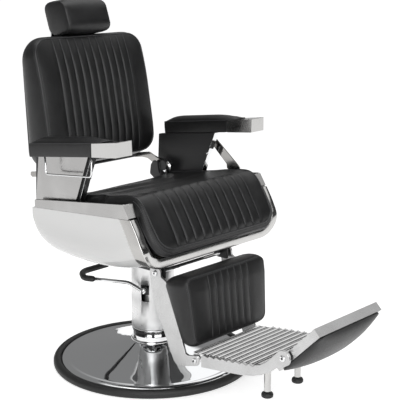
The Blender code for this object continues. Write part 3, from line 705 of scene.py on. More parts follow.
def on_surface(piece, path, lift):
    """Moves a path onto a piece's finished surface, raised a little."""
    bpy.context.view_layer.update()
    finished = piece.evaluated_get(bpy.context.evaluated_depsgraph_get())
    inverse = finished.matrix_world.inverted()
    result = []
    for point in path:
        _, place, normal, _ = finished.closest_point_on_mesh(inverse @ Vector(point))
        result.append(finished.matrix_world @ (place + normal * lift))
    return np.array([tuple(p) for p in result])


def even_path(path, step, closed=False):
    """The same path with its points a fixed step apart."""
    path = np.asarray(path, float)
    if closed:
        path = np.vstack([path, path[:1]])
    run = run_along(path)
    places = np.linspace(0, run[-1], max(3, int(run[-1] / step)) + 1)
    even = np.stack([np.interp(places, run, path[:, k]) for k in range(3)], 1)
    return even[:-1] if closed else even


def stitches(name, piece, paths, body, pitch=0.0065, length=0.0042, radius=0.0005):
    """Short threads laid along paths on a piece's surface."""
    threads = []
    for path in paths:
        path = on_surface(piece, even_path(path, pitch / 3), radius * 0.4)
        run = run_along(path)
        for start in np.arange(0, run[-1] - length, pitch):
            ends = [np.array([np.interp(start + d, run, path[:, k]) for k in range(3)])
                    for d in (0, length * 0.5, length)]
            threads.append(loft(tube_rings(ends, np.array([0.5, 1.0, 0.5]) * radius, 5)))
    mesh_piece(name, *joined(threads), THREAD_AND_HIGHLIGHT, body, "upholstery")


def piping(name, piece, path, body, radius=0.0026, closed=True):
    path = on_surface(piece, even_path(path, 0.006, closed), radius * 0.15)
    tube(name, path, radius, PIPING_PAINTED_HIGHLIGHT, body, "upholstery", sides=10, closed=closed)


def groove_highlight_lines(name, piece, pad, columns, body, first_row=0, radius=0.0009):
    """A lighter thread line along the flank of each groove on the sitter's left: partly the sewn
    line, partly a painted highlight on the rib's flank.
    """
    threads = []
    for column in columns:
        line = np.array(pad.front[first_row + 1:-1, column], float)
        line[:, 0] += 0.0016
        line = on_surface(piece, even_path(line, 0.008), radius * 0.1)
        threads.append(loft(tube_rings(line, radius, 6)))
    mesh_piece(name, *joined(threads), THREAD_AND_HIGHLIGHT, body, "upholstery")


def closed_line(line):
    return np.vstack([line, line[:1]])


def beside(pad, out, forward):
    """The closed line of a pad's seam, moved outwards and towards its front."""
    normal = unit(pad.rings[0].mean(0) - pad.points[pad.back_start:].mean(0))
    return closed_line(pad.rings[0] + pad.outward * out + normal * forward)


# Backrest

BACK_TILT = math.radians(9.6)
BACK_CENTRE = np.array((0.0, 0.3050, 0.9010))
REAR_SLOPE = math.tan(math.radians(6.4))


def make_back_cushion():
    half_width, half_height, corner = 0.2455, 0.2130, 0.058
    grooves = [0.0330 * (k - 5) for k in range(11)]
    x, y = panel(half_width, half_height, corner, grooves, rows=46)
    seam = -0.0500 + 0.0180 * np.clip((y - 0.02) / 0.19, 0, 1) ** 2
    seam = seam + 0.0120 * np.clip((-0.10 - y) / 0.115, 0, 1) ** 2
    fullness = crown(x, y, half_width, half_height, 3.0, 0.62)
    ends = np.clip(1 - np.abs(y / half_height) ** 14, 0, 1)
    ribs = rib_profile(x, grooves) * ends
    forward = -seam + 0.0150 * fullness - 0.0045 * ends * fullness + 0.0060 * ribs * fullness
    front = leaning(np.stack([x, y, forward], -1), BACK_CENTRE, BACK_TILT)
    narrower = 1 - 0.018 / half_width
    inset = np.where(y > 0, 0.040, 0.012) * (y / half_height) ** 2
    y_back = y - np.sign(y) * inset
    rear = 0.0480 + REAR_SLOPE * (0.122 - y_back)
    back = leaning(np.stack([x * narrower, y_back, -rear], -1), BACK_CENTRE, BACK_TILT)
    border = [(0.05, 0.0, 0.003), (0.16, 0.0, 0.007), (0.32, 0.0, 0.0100), (0.52, 0.02, 0.0105),
              (0.70, 0.10, 0.009), (0.84, 0.26, 0.007), (0.94, 0.52, 0.004), (0.99, 0.80, 0.001)]
    pad = Pad(front, back, border)
    picked = groove_columns(x[0], grooves)
    pad.pin_columns(picked)
    piece = sewn_pad("back_pad", pad, "backrest", ("back_cushion",))
    piping("back_pad_piping", piece, pad.rings[0], "backrest")
    groove_highlight_lines("back_pad_grooves", piece, pad, picked, "backrest")
    stitches("back_pad_stitching", piece,
             [beside(pad, 0.004, -0.005), beside(pad, -0.006, 0.004)], "backrest")


# Headrest

HEAD_HALF_WIDTH = 0.0935
HEAD_CORNERS = {(-1, -1): (0.2820, 1.1370), (1, -1): (0.3920, 1.1160),
                (-1, 1): (0.3180, 1.2420), (1, 1): (0.4280, 1.2270)}


def make_headrest():
    half_depth, half_height = 0.055, 0.050
    u, v = panel(half_depth, half_height, 0.030, [], rows=18)
    p, q = u / half_depth, v / half_height
    side = np.zeros(p.shape + (2,))
    for (sp, sq), corner in HEAD_CORNERS.items():
        share = (1 + sp * p) * (1 + sq * q) / 4
        side += share[..., None] * np.array(corner)
    bulge = 0.0085 * crown(p, q, 1.0, 1.0, 2.2, 0.5)
    right = np.concatenate([(-HEAD_HALF_WIDTH - bulge)[..., None], side], -1)
    left = np.concatenate([(HEAD_HALF_WIDTH + bulge)[..., None], side], -1)
    shares = np.linspace(0, 1, 16)[1:-1]
    border = [(s, 0.0, 0.0075 * math.sin(math.pi * s) ** 0.45) for s in shares]
    pad = Pad(right, left, border)
    piece = sewn_pad("headrest_pad", pad, "headrest", ("headrest_cushion",))
    lines = []
    for sign in (-1, 1):
        for step in (-0.0035, 0.0035):
            line = pad.rings[0].copy()
            line[:, 0] = sign * HEAD_HALF_WIDTH + step
            lines.append(closed_line(line))
    stitches("headrest_stitching", piece, lines, "headrest")


# Seat

SEAT_HALF_WIDTH = 0.277
SEAT_GROOVES = [0.0405 * (k - 5) for k in range(11)]
SEAT_SECTIONS = [  # y and z of the top, half width, reach of the side, y and z of the underside
    (0.198, 0.588, 0.262, 0.30, 0.190, 0.532), (0.186, 0.603, 0.262, 0.30, 0.184, 0.531),
    (0.160, 0.612, 0.264, 0.30, 0.160, 0.534), (0.080, 0.626, 0.264, 0.30, 0.080, 0.543),
    (0.000, 0.638, 0.264, 0.30, 0.000, 0.552), (-0.052, 0.646, 0.264, 0.30, -0.052, 0.558),
    (-0.066, 0.648, 0.268, 0.35, -0.066, 0.560), (-0.078, 0.650, 0.277, 0.50, -0.078, 0.561),
    (-0.130, 0.658, 0.277, 0.50, -0.120, 0.566), (-0.170, 0.664, 0.277, 0.50, -0.150, 0.566),
    (-0.198, 0.664, 0.277, 0.50, -0.170, 0.562), (-0.218, 0.657, 0.277, 0.50, -0.184, 0.556),
    (-0.236, 0.642, 0.277, 0.52, -0.196, 0.552), (-0.262, 0.604, 0.277, 0.68, -0.214, 0.538),
    (-0.286, 0.565, 0.275, 0.76, -0.230, 0.522), (-0.304, 0.533, 0.266, 0.80, -0.244, 0.506),
    (-0.311, 0.519, 0.250, 0.90, -0.254, 0.498), (-0.315, 0.510, 0.226, 0.90, -0.264, 0.493),
]


def resampled(rows, count):
    """Rows of numbers resampled evenly along a smooth curve through them, by their (y, z)."""
    rows = np.array(rows, float)
    run = run_along(rows[:, :2])
    places = np.linspace(0, run[-1], count)
    result = []
    for column in rows.T:
        slope = np.gradient(column, run)
        k = np.clip(np.searchsorted(run, places, side="right") - 1, 0, len(run) - 2)
        h = run[k + 1] - run[k]
        t = (places - run[k]) / h
        value = ((1 + 2 * t) * (1 - t) ** 2 * column[k] + t * (1 - t) ** 2 * h * slope[k]
                 + t ** 2 * (3 - 2 * t) * column[k + 1] + t ** 2 * (t - 1) * h * slope[k + 1])
        result.append(value)
    return np.array(result).T


def make_seat_cushion():
    rows = resampled(SEAT_SECTIONS, 58)
    xs = column_places(SEAT_HALF_WIDTH, 0.020, SEAT_GROOVES)
    first = SEAT_GROOVES[-1]
    y, z, half, reach, low_y, low_z = (rows[:, k][:, None] for k in range(6))
    beyond = np.clip(np.abs(xs) - first, 0, None) / (SEAT_HALF_WIDTH - first)
    x = np.sign(xs) * (np.minimum(np.abs(xs), first) + beyond * (half - first))
    normal = np.gradient(rows[:, :2], axis=0)
    normal = unit(np.stack([-normal[:, 1], normal[:, 0]], 1))
    normal = np.where((normal[:, 1] < 0)[:, None] & (rows[:, :1] > -0.2), -normal, normal)
    if normal[-1, 0] > 0:
        normal = -normal
    run = np.linspace(0, 1, len(rows))[:, None]
    across = np.clip(1 - np.abs(xs / SEAT_HALF_WIDTH) ** 3.2, 0, 1)[None, :] ** 0.6
    ends = np.clip(1 - np.abs(2 * run - 1) ** 16, 0, 1) ** 0.6
    drop = np.clip((-0.135 - y) / 0.050, 0, 1)
    drop = drop * drop * (3 - 2 * drop)
    lower = np.clip((1 - run) / 0.02, 0, 1)
    ribs = (rib_profile(xs, SEAT_GROOVES) - 1)[None, :] * drop * lower
    lift = 0.0095 * across * ends + 0.0060 * ribs
    soft = 0.0022 * np.sin(y * 55 + 1.2 * np.sin(xs * 9)[None, :]) * np.clip((y + 0.12) / 0.1, 0, 1)
    lift = lift + soft * across
    top = grid_points(x, y + normal[:, :1] * lift, z + normal[:, 1:] * lift)
    wide = x * (half + 0.018 * reach - 0.004) / half
    bottom = grid_points(wide, low_y, low_z)
    border = [(0.03, 0.0, 0.008), (0.10, 0.0, 0.017), (0.20, 0.0, 0.0230), (0.34, 0.0, 0.0260),
              (0.50, 0.0, 0.0250), (0.66, 0.0, 0.0200), (0.82, 0.0, 0.0120), (0.94, 0.0, 0.0040)]
    pad = Pad(top, bottom, border, np.broadcast_to(reach, x.shape), straight=False)
    row_start = int(np.argmax(drop[:, 0] > 0.5))
    picked = groove_columns(xs, SEAT_GROOVES)
    pad.pin_columns(picked, row_start)
    piece = sewn_pad("seat_pad", pad, "seat", ("seat_cushion",))
    piping("seat_pad_piping", piece, pad.rings[0], "seat", 0.0022)
    groove_highlight_lines("seat_pad_grooves", piece, pad, picked, "seat", row_start)
    front = [k for k, (i, _) in enumerate(pad.loop) if rows[i, 0] < -0.195]
    split = next((n for n in range(1, len(front)) if front[n] != front[n - 1] + 1), 0)
    order = front[split:] + front[:split]
    # The welts take the lightened piping, which paints in their highlights.
    for number, ring in enumerate((2, 4)):
        piping("seat_pad_welt_%d" % number, piece, pad.rings[ring][order], "seat", 0.0014, False)
    lines = [pad.rings[1][order], (pad.rings[2] + pad.rings[3])[order] / 2]
    stitches("seat_pad_stitching", piece, lines, "seat")


# Arm pads

ARM_MIDDLE = 0.319
CAP_START = -0.0900


def arm_low(y):
    return 0.7490 + 0.0360 * (0.211 - y) / 0.302


def cap_top(y):
    return 0.8280 - 0.1366 * (y + 0.0912)


def make_arm_pad(label, side):
    rows = np.array([0.2145, 0.208, 0.196, 0.180, 0.155, 0.125, 0.095, 0.065, 0.035, 0.005, -0.025,
                     -0.050, -0.070, -0.083, -0.0890, -0.0915, -0.100, -0.110, -0.119, -0.125])
    xs = np.array([-1, -0.93, -0.8, -0.6, -0.35, 0, 0.35, 0.6, 0.8, 0.93, 1.0])
    y = rows[:, None]
    over = y < CAP_START
    seam = np.where(over, cap_top(y) + 0.0014, arm_low(y) + 0.0430)
    half = np.where(over, 0.0325 - 0.20 * (CAP_START - y), 0.0328)
    rear = np.clip((0.2145 - y) / 0.050, 0, 1)
    front = np.clip((y + 0.128) / 0.110, 0, 1)
    height = 0.0185 * np.sin(rear * np.pi / 2) ** 0.8 * np.sin(front * np.pi / 2) ** 0.9
    top_z = seam + height * (1 - np.abs(xs[None, :]) ** 2.4) ** 0.7
    low = np.where(over, cap_top(y) + 0.0006, arm_low(y))
    middle = side * ARM_MIDDLE
    x = middle + xs[None, :] * half
    top = grid_points(x, y, top_z)
    low_x = middle + xs[None, :] * np.where(over, half, 0.0330)
    low_y = np.where(y > 0.195, y - 0.0035, y)
    bottom = grid_points(low_x, low_y, low)
    reach = np.where(over, 0.0, 1.0) * np.ones_like(x)
    border = [(0.04, 0.04, 0.0009), (0.15, 0.15, 0.0014), (0.35, 0.35, 0.0018),
              (0.60, 0.60, 0.0018), (0.85, 0.85, 0.0012), (0.96, 0.96, 0.0004)]
    pad = Pad(top, bottom, border, reach)
    piece = sewn_pad("arm_padding_" + label, pad, "seat", ("arm_pad_" + label,), cap=0.0015,
                     pressure=2.0)
    piping("arm_piping_" + label, piece, pad.rings[0], "seat", 0.0014)


# Legrest and flap

CALF_CENTRE = np.array((0.0, -0.3165, 0.2925))
CALF_LEAN = math.atan2(0.0470, 0.2150)


def make_calf_pad():
    half_width, half_height, corner = 0.1740, 0.1060, 0.022
    grooves = [0.0325 * (k - 3) for k in range(7)]
    x, y = panel(half_width, half_height, corner, grooves, rows=34)
    fullness = crown(x, y, half_width, half_height, 5.0, 0.6)
    ends = np.clip(1 - np.abs(y / half_height) ** 12, 0, 1)
    ribs = (rib_profile(x, grooves) - 1) * ends * fullness
    first = grooves[-1]
    beyond = np.clip((np.abs(x) - first) / (half_width - first), 0, 1)
    x = x + np.sign(x) * 0.0165 * (y / half_height + 1) / 2 * beyond
    seam = 0.0230 + 0.0180 * np.clip((y + 0.095) / 0.15, 0, 1)
    forward = seam + 0.0080 * fullness + 0.0042 * ribs
    front = leaning(np.stack([x, y, forward], -1), CALF_CENTRE, CALF_LEAN)
    depth = -0.0330 - 0.10 * (y + 0.108)
    back = leaning(np.stack([x * 1.01, y, depth], -1), CALF_CENTRE, CALF_LEAN)
    border = [(0.05, 0.05, 0.004), (0.16, 0.16, 0.008), (0.34, 0.34, 0.0115),
              (0.56, 0.56, 0.0120), (0.78, 0.78, 0.0090), (0.93, 0.93, 0.0040)]
    pad = Pad(front, back, border)
    picked = groove_columns(column_places(half_width, corner, grooves), grooves)
    pad.pin_columns(picked)
    piece = sewn_pad("calf_padding", pad, "legrest", ("calf_pad",))
    stitches("calf_stitching", piece,
             [beside(pad, 0.0030, -0.003), beside(pad, -0.0040, 0.003)], "legrest")
    piping("calf_piping", piece, pad.rings[0], "legrest", 0.0014)
    groove_highlight_lines("calf_grooves", piece, pad, picked, "legrest")


FLAP_PIVOT = (-0.705, 0.241)
FLAP_MIDDLE = 0.0480
FLAP_COS = math.cos(math.radians(45))


def flap_place(x, along, out):
    """A point of the flap: along it from its pivot, and out towards its ribbed face."""
    y = FLAP_PIVOT[0] - along * FLAP_COS + out * FLAP_COS
    z = FLAP_PIVOT[1] + along * FLAP_COS + out * FLAP_COS
    return grid_points(x, y, z)


def make_flap_pad():
    half_width, half_height, corner = 0.1570, 0.0950, 0.018
    x, y = panel(half_width, half_height, corner, [], rows=24)
    fullness = crown(x, y, half_width, half_height, 2.4, 0.55)
    front = flap_place(x, FLAP_MIDDLE + y, -0.0240 - 0.0320 * fullness)
    back = flap_place(x, FLAP_MIDDLE + y, np.full_like(x, -0.0206))
    border = [(0.35, 0.35, 0.0012), (0.75, 0.75, 0.0010)]
    pad = Pad(front, back, border)
    sewn_pad("flap_padding", pad, "flap", ("flap_pad",))


make_back_cushion()
make_headrest()
make_seat_cushion()
for label, side in SIDES:
    make_arm_pad(label, side)
make_calf_pad()
make_flap_pad()


# ------------------------------------------------------------------ base and column

COVER_CURVE = [(0.0792, 0.0825), (0.0850, 0.0795), (0.1000, 0.0735), (0.1300, 0.0640),
               (0.1800, 0.0510), (0.2400, 0.0378), (0.2850, 0.0292), (0.2960, 0.0276),
               (0.3060, 0.0272), (0.3140, 0.0255), (0.3200, 0.0222), (0.3234, 0.0175),
               (0.3240, 0.0132)]
COVER_CURVE = [tuple(p) for p in resampled(COVER_CURVE, 70)]
turned("cover", COVER_CURVE + [(r - 0.002, z - 0.001) for r, z in reversed(COVER_CURVE)],
       MIRROR, "base", "chrome", ("base_cover",), 220)
turned("ground_ring", filleted([
    (0.3246, 0.0), (0.3460, 0.0), (0.3498, 0.0060), (0.3500, 0.0180), (0.3440, 0.0262),
    (0.3340, 0.0280), (0.3246, 0.0245)], 0.004, 4),
    RUBBER, "base", "rubber", ("base_ring",), 220)
turned("collar_foot", filleted([
    (0.0460, 0.0600), (0.0785, 0.0600), (0.0785, 0.0850), (0.0770, 0.0885), (0.0738, 0.0895),
    (0.0735, 0.1040), (0.0725, 0.1048), (0.0460, 0.1048)], 0.0012, 3),
    CHROME, "base", "chrome", ("base_collar",), 128)
turned("collar_core", [(0.0460, 0.1045), (0.0700, 0.1045), (0.0700, 0.1275), (0.0460, 0.1275)],
       PLASTIC, "base", "chrome", (), 96)
turned("collar_rim", filleted([
    (0.0460, 0.1270), (0.0735, 0.1270), (0.0735, 0.1295), (0.0725, 0.1302), (0.0460, 0.1302)],
    0.0008, 3), CHROME, "base", "chrome", (), 128)


def collar_tabs():
    """Chrome tabs between the dark windows of the collar."""
    tabs = []
    for quarter in range(4):
        for middle, width in ((-149, 19), (-122.5, 19)):
            base_angle = math.radians(middle + 90 * quarter)
            spread = np.linspace(-0.5, 0.5, 7) * math.radians(width) + base_angle
            rings = [[(r * math.cos(a), r * math.sin(a), z)
                      for r, z in ((0.0695, 0.1046), (0.0735, 0.1046), (0.0735, 0.1272),
                                   (0.0695, 0.1272))] for a in spread]
            tabs.append(loft(rings))
    mesh_piece("collar_tabs", *joined(tabs), CHROME, "base", "chrome", smooth=False)


collar_tabs()

LEVER_ANGLE = math.radians(-157)
SLOT_LOW, SLOT_HIGH = 0.2350, 0.2940


def column_sleeve():
    """A thin tube with a window for the pump lever's hub."""
    half_slot = math.asin(0.0150 / 0.0743)
    rest = np.linspace(half_slot, 2 * math.pi - half_slot, 96)
    angles = list(np.linspace(-half_slot, half_slot, 9)[:-1]) + list(rest[:-1])
    heights = [0.1315, 0.1330, 0.1700, SLOT_LOW, SLOT_HIGH, 0.3400, 0.3935, 0.3945]
    work = bmesh.new()
    grid = []
    for z in heights:
        r = 0.0738 if z in (heights[0], heights[-1]) else 0.0743
        grid.append([work.verts.new((r * math.cos(LEVER_ANGLE + a), r * math.sin(LEVER_ANGLE + a), z))
                     for a in angles])
    count = len(angles)
    for i in range(len(heights) - 1):
        for j in range(count):
            if heights[i] == SLOT_LOW and j < 8:
                continue
            k = (j + 1) % count
            work.faces.new((grid[i][j], grid[i][k], grid[i + 1][k], grid[i + 1][j]))
    bmesh.ops.recalc_face_normals(work, faces=work.faces)
    data = bpy.data.meshes.new("sleeve")
    work.to_mesh(data)
    work.free()
    data.materials.append(SATIN_CHROME)
    shade(data)
    piece = new_object("sleeve", data)
    wall = piece.modifiers.new("wall", "SOLIDIFY")
    wall.thickness = 0.0028
    middle = data.polygons[0]
    wall.offset = -1.0 if middle.normal.dot(Vector((*middle.center.xy, 0))) > 0 else 1.0
    crisp(data, 35)
    settle(piece, "seat", ("column_sleeve",))


column_sleeve()

LEVER_OUT = np.array((math.cos(LEVER_ANGLE), math.sin(LEVER_ANGLE), 0))
LEVER_AXIS = np.array((0, 0, 0.278))


def radial_rod(name, near, far, radius, material, slot):
    """A rod of the pump lever, pointing out of the column."""
    ends = [LEVER_OUT * near + LEVER_AXIS, LEVER_OUT * (near + 0.001) + LEVER_AXIS,
            LEVER_OUT * (far - 0.001) + LEVER_AXIS, LEVER_OUT * far + LEVER_AXIS]
    sizes = np.array([radius - 0.001, radius, radius, radius - 0.001])
    tube(name, ends, sizes, material, "pump_lever", slot, sides=28)


radial_rod("lever_boss", 0.0640, 0.0765, 0.0128, PLASTIC, "black_plastic")
radial_rod("lever_hub", 0.0760, 0.0960, 0.0092, CHROME, "chrome")
radial_rod("lever_bolt", 0.0955, 0.0990, 0.0060, CHROME, "chrome")
# A black disc on the bolt's end: painted shade in place of its socket's hollow.
radial_rod("lever_bolt_socket", 0.0986, 0.0994, 0.0032, STEEL, "black_steel")
BAR_TURN = np.array((-0.0950, 0.0220, 0.300))
BAR_END = np.array((-0.1460, 0.1380, 0.300))
BAR_WAY = (BAR_END - BAR_TURN) / np.linalg.norm(BAR_END - BAR_TURN)
tube("lever_bar", bent_path([LEVER_OUT * 0.0700 + LEVER_AXIS, LEVER_OUT * 0.0885 + LEVER_AXIS,
                             BAR_TURN, BAR_END + BAR_WAY * 0.002], 0.014),
     0.0062, CHROME, "pump_lever", "chrome", ("pump_lever_rod",), sides=20)


def lever_grip():
    start = BAR_END - BAR_WAY * 0.0002
    path = even_path(bent_path([start, start + BAR_WAY * 0.040, (-0.1200, 0.2360, 0.300),
                                (0.0100, 0.2360, 0.300)], 0.045, 10), 0.004)
    run = np.arange(len(path))
    ends = np.minimum(run, run[::-1])
    size = 0.0105 - 0.0035 * np.clip(1 - ends / 2.0, 0, 1) ** 2
    tube("lever_grip", path, size, RUBBER, "pump_lever", "rubber", ("pump_lever_grip",), sides=20)


lever_grip()


# ------------------------------------------------------------------ tub, surround, arms

TRIM_HALF_WIDTH = 0.333
BAND_DEPTH = 0.050
BAND_BOTTOM, BAND_TOP, BAND_CORNER = 0.4430, 0.6092, 0.090
BAND_CURVE = resampled([(0.430, -0.274), (0.450, -0.283), (0.470, -0.2868), (0.500, -0.2875),
                        (0.550, -0.268), (0.606, -0.235), (0.655, -0.203)], 60)
TUB_CURVE = resampled([(0.232, 0.475), (0.2305, 0.466), (0.226, 0.455), (0.212, 0.439),
                       (0.180, 0.424), (0.109, 0.4130), (0.010, 0.4095), (-0.080, 0.4130),
                       (-0.150, 0.4220), (-0.235, 0.4450)], 44)


def band_front(z):
    return float(np.interp(z, BAND_CURVE[:, 0], BAND_CURVE[:, 1]))


def trim_bottom(y):
    return 0.5760 + 0.0678 * (0.216 - y)


def u_path(half_width, bottom, corner, top, straight=8, steps=16, flat=12):
    """Front-view (x, z) points down the right side, across the bottom and up the left."""
    side = [(-half_width, z) for z in np.linspace(top, bottom + corner, straight, endpoint=False)]
    for angle in np.linspace(math.pi, 1.5 * math.pi, steps, endpoint=False):
        side.append((-half_width + corner + corner * math.cos(angle),
                     bottom + corner + corner * math.sin(angle)))
    flat_x = np.linspace(-half_width + corner, half_width - corner, flat)
    return side + [(x, bottom) for x in flat_x] + [(-x, z) for x, z in reversed(side)]


def tub_skin(inset):
    band = u_path(TRIM_HALF_WIDTH, BAND_BOTTOM, BAND_CORNER, 0.6040)
    rings = []
    for n, (station, bottom) in enumerate(TUB_CURVE):
        top = trim_bottom(max(station, -0.185)) - 0.0012
        corner = min(0.088, 0.8 * (top - bottom))
        outline = u_path(TRIM_HALF_WIDTH - 0.002 - inset, bottom + inset, corner - inset, top)
        last = n == len(TUB_CURVE) - 1
        rear = inset * max(0.0, 1 - n / 8)
        ring = []
        for (x, z), (_, band_z) in zip(outline, band):
            rim = band_front(band_z) + BAND_DEPTH + 0.0010
            ring.append((x, rim if last else max(station - rear, rim), z))
        rings.append(ring)
    return np.array(rings)


def make_tub():
    outer, inner = tub_skin(0.0), tub_skin(0.004)
    rows, columns = outer.shape[:2]
    points = list(outer.reshape(-1, 3)) + list(inner.reshape(-1, 3))
    second = rows * columns
    faces = []
    for base in (0, second):
        faces += grid_faces(rows, columns, base)
        faces.append(tuple(base + j for j in range(columns)))
    for i in range(rows - 1):
        for j in (0, columns - 1):
            a = i * columns + j
            faces.append((a, a + columns, second + a + columns, second + a))
    for j in range(columns - 1):
        a = (rows - 1) * columns + j
        faces.append((a, a + 1, second + a + 1, second + a))
    faces.append((0, columns - 1, second + columns - 1, second))
    piece = mesh_piece("tub", points, faces, WHITE, "seat", "white_shell", ("seat_tub",))
    crisp(piece.data, 50)


make_tub()


def make_surround():
    """The frame round the front of the seat: a side wall and a flat flange, with soft edges."""
    outer, wall, flange = [
        u_path(TRIM_HALF_WIDTH - inset, bottom, corner, BAND_TOP, 24) for inset, bottom, corner
        in ((0.0, BAND_BOTTOM, BAND_CORNER), (0.010, 0.4530, 0.080), (0.030, 0.4760, 0.060))]
    rings = []
    for (xo, zo), (xw, zw), (xf, zf) in zip(outer, wall, flange):
        front, back = band_front(zo), band_front(zo) + BAND_DEPTH
        way = np.array((xf - xo, zf - zo)) / math.hypot(xf - xo, zf - zo)
        rings.append([
            (xo, back, zo), (xo, front + 0.0022, zo),
            (xo + way[0] * 0.0006, front + 0.0006, zo + way[1] * 0.0006),
            (xo + way[0] * 0.0022, front, zo + way[1] * 0.0022),
            (xf - way[0] * 0.0014, front, zf - way[1] * 0.0014),
            (xf, front + 0.0014, zf), (xf, front + 0.0060, zf),
            (xw, band_front(zw) + 0.0060, zw), (xw, back, zw)])
    rings = np.array(rings)
    rings[..., 2] = np.minimum(rings[..., 2], trim_bottom(rings[..., 1]) - 0.0010)
    points, faces = loft(rings)
    piece = mesh_piece("surround", points, faces, SURROUND, "seat", "chrome", ("front_surround",))
    crisp(piece.data, 50)
    # Painted shade: faces that don't face forward or back take the darker copy of the band.
    piece.data.materials.append(SHADED_SIDE_BAND)
    for face in piece.data.polygons:
        if abs(face.normal.y) < 0.5 and face.area > 0.00005:
            face.material_index = 1


make_surround()


def make_underside_shade_sheet():
    """A thin black sheet under the middle of the tub's underside: painted shade, standing in for the
    shadow beneath the seat.
    """
    rings = []
    for y, bottom in TUB_CURVE:
        if -0.205 < y < 0.195:
            low, high = bottom - 0.0032, bottom - 0.0010
            rings.append([(-0.225, y, low), (0.225, y, low), (0.225, y, high), (-0.225, y, high)])
    points, faces = loft(rings)
    mesh_piece("underside_cover", points, faces, STEEL, "seat", "black_steel", smooth=False)


make_underside_shade_sheet()


def side_prism(name, outline, low, high, material, body, slot, replaces=()):
    """A side-view outline extruded along X."""
    points, faces = loft([[(x, y, z) for y, z in outline] for x in (low, high)])
    return mesh_piece(name, points, faces, material, body, slot, replaces, False)


def side_strip(name, outline, x_low, x_high, side, depth, material, body, slot):
    """A strip that follows a side-view polyline, standing forward of it."""
    outline = np.array(outline, float)
    along = unit(np.gradient(outline, axis=0))
    normal = np.stack([-along[:, 1], along[:, 0]], 1)
    if normal[:, 0].mean() > 0:
        normal = -normal
    rings = []
    for place, out in zip(outline, normal):
        front = place + out * depth
        ring = [(x_low, *place), (x_low, *front), (x_high, *front), (x_high, *place)]
        rings.append([(side * x, y, z) for x, y, z in ring])
    points, faces = loft(rings)
    round_edges(mesh_piece(name, points, faces, material, body, slot, smooth=False), 0.0006, 2)


def screw(name, place, out, radius, height, body, socket):
    """A low round screw head with a black hexagon for its socket, painted shade in place of the
    hollow; out is the direction it faces.
    """
    place, out = np.array(place, float), np.array(out, float)
    sizes = np.array([radius, radius, radius * 0.85])
    ends = [place, place + out * height * 0.6, place + out * height]
    tube(name, ends, sizes, CHROME, body, "chrome", sides=24)
    if socket:
        tube(name + "_socket", [place + out * height * 0.9, place + out * (height + 0.0002)],
             radius * 0.42, STEEL, body, "black_steel", sides=6)


def make_cap(label, side):
    """The metal end of an arm; its inner face leans out a little towards the top."""
    outline = filleted([(-0.0912, 0.7850), (-0.0912, 0.8280), (-0.2010, 0.8430), (-0.2010, 0.7960)],
                       0.0012, 3)
    rings = [[(side * (0.2850 + 0.045 * (z - 0.785)), y, z) for y, z in outline],
             [(side * 0.3530, y, z) for y, z in outline]]
    points, faces = loft(rings)
    piece = mesh_piece("cap_" + label, points, faces, SURROUND, "seat", "brushed_steel",
                       ("arm_cap_" + label,), smooth=False)
    round_edges(piece, 0.0012, 3)


FOOTPLATE_PIVOT = (-0.358, 0.142)
SCREWS = [  # name, place on the left side, 1 if it faces outwards, radius, height, body, socket
    ("panel_screw_", (0.2802, -0.004, 0.700), -1, 0.0050, 0.0016, "seat", False),
    ("flap_screw_", (0.1783, *FLAP_PIVOT), 1, 0.0100, 0.0030, "footplate", True),
    ("foot_screw_", (0.1808, *FOOTPLATE_PIVOT), 1, 0.0078, 0.0016, "footplate", True),
    ("leg_screw_", (0.1813, -0.187, 0.395), 1, 0.0090, 0.0020, "legrest_carriage", True),
]

for label, side in SIDES:
    make_cap(label, side)
    edge = [(-0.0375, arm_low(-0.0375) - 0.0006), (-0.0050, 0.7000), (0.0340, 0.6000)]
    side_strip("panel_edge_" + label, edge, 0.2800, 0.3035, side, 0.0016, CHROME, "seat", "chrome")
    for name, (x, y, z), out, radius, height, body, socket in SCREWS:
        screw(name + label, (side * x, y, z), (side * out, 0, 0), radius, height, body, socket)

tube("towel_bar", bent_path([
    (-0.3440, 0.142, arm_low(0.142) - 0.0005), (-0.3440, 0.139, 0.700), (-0.3440, -0.079, 0.720),
    (-0.3440, -0.081, arm_low(-0.081) - 0.0005)], 0.012, 8),
    0.0030, CHROME, "seat", "chrome", ("towel_rail",), sides=16)

DISC_CENTRE = (0.172, 0.632)
FORK = [(0.2130, 0.6560), (0.2280, 0.6380), (0.2330, 0.6030), (0.2050, 0.5850), (0.1700, 0.5850),
        (0.1900, 0.6200), (0.1940, 0.6480)]
CLEVIS = [(0.2160, 0.6620), (0.2330, 0.6390), (0.2400, 0.6020), (0.2350, 0.5850), (0.1780, 0.5850),
          (0.1620, 0.6180), (0.1660, 0.6520), (0.1850, 0.6600)]
for label, side in SIDES:
    side_prism("clevis_" + label, filleted(CLEVIS, 0.006), side * 0.2515, side * 0.2600, STEEL,
               "seat", "black_steel")
    side_prism("fork_" + label, filleted(FORK, 0.004), side * 0.2265, side * 0.2335, STEEL,
               "seat", "black_steel")
    tube("clevis_disc_" + label, [(side * x, *DISC_CENTRE) for x in (0.2505, 0.2513)],
         0.0225, CHROME, "seat", "chrome", sides=48)


# ------------------------------------------------------------------ footplate

def tread_top(y):
    return 0.1660 + 0.112 * (-0.386 - y)


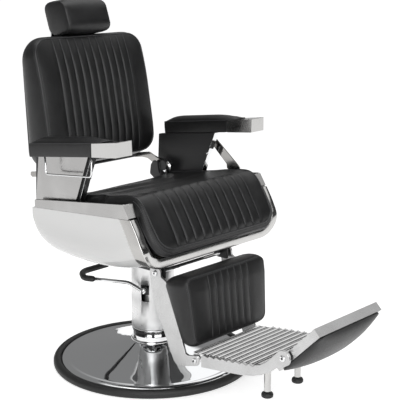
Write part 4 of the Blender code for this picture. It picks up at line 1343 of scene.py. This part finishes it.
def make_tread():
    """The step: ribs across it whose front flanks catch the light; its flat faces are painted
    near-black as shade between the ribs.
    """
    pitch, start, count = 0.0256, -0.3440, 10
    half_width, lug_radius = 0.1672, 0.0115
    section = [(0.0, 0.0038), (0.0010, 0.0040), (0.0046, 0.0004), (0.0126, 0.0002),
               (0.0136, 0.0014), (0.0146, 0.0002), (0.0220, 0.0002)]
    outline = []
    for n in range(count):
        for step, height in section:
            y = start - pitch * n - step
            outline.append((y, tread_top(y) + height))
    end = outline[-1][0] - 0.004
    outline += [(end, tread_top(end) - 0.0120), (-0.3760, 0.1530)]
    for angle in np.radians(np.linspace(180, 360, 13)):
        outline.append((FOOTPLATE_PIVOT[0] + lug_radius * math.cos(angle),
                        FOOTPLATE_PIVOT[1] + lug_radius * math.sin(angle)))
    outline.append((start, 0.1530))
    piece = side_prism("tread", outline, -half_width, half_width, RIB_METAL, "footplate", "aluminium",
                       ("footplate_tread",))
    piece.data.materials.append(TREAD_PAINTED_SHADE)
    # Painted shade: the flat faces, between the ribs and on their tops, take the near-black metal.
    for face in piece.data.polygons:
        face.material_index = int(face.normal.z > 0.9)


make_tread()

THREAD_PITCH = 0.0036
THREAD_CREST, THREAD_ROOT = 0.0108, 0.0096
LEG_TOP = tread_top(-0.573) - 0.0145

for label, side in SIDES:
    centre = (side * 0.078, -0.573)
    body = "levelling_" + label
    threads = []
    for n in range(24):
        z = 0.0685 + n * THREAD_PITCH
        threads += [(THREAD_CREST, z), (THREAD_ROOT, z + THREAD_PITCH / 2)]
    threads.append((THREAD_CREST, threads[-1][1] + THREAD_PITCH / 2))
    top = min(LEG_TOP, threads[-1][1])
    profile = [(0.0005, 0.0672)] + [p for p in threads if p[1] <= top] + [(0.0005, top)]
    turned("threaded_leg_" + label, profile, SURROUND, body, "chrome", ("levelling_leg_" + label,),
           40, centre)
    turned("foot_puck_" + label, filleted([
        (0.0005, 0.0500), (0.0165, 0.0500), (0.0190, 0.0530), (0.0190, 0.0610), (0.0160, 0.0655),
        (0.0005, 0.0668)], 0.002, 4), RUBBER, body, "rubber", ("levelling_foot_" + label,),
        48, centre)


# ------------------------------------------------------------------ kept nodes: crisp shading

for name in nodes:
    shade(nodes[name].data)
    crisp(nodes[name].data, 30)
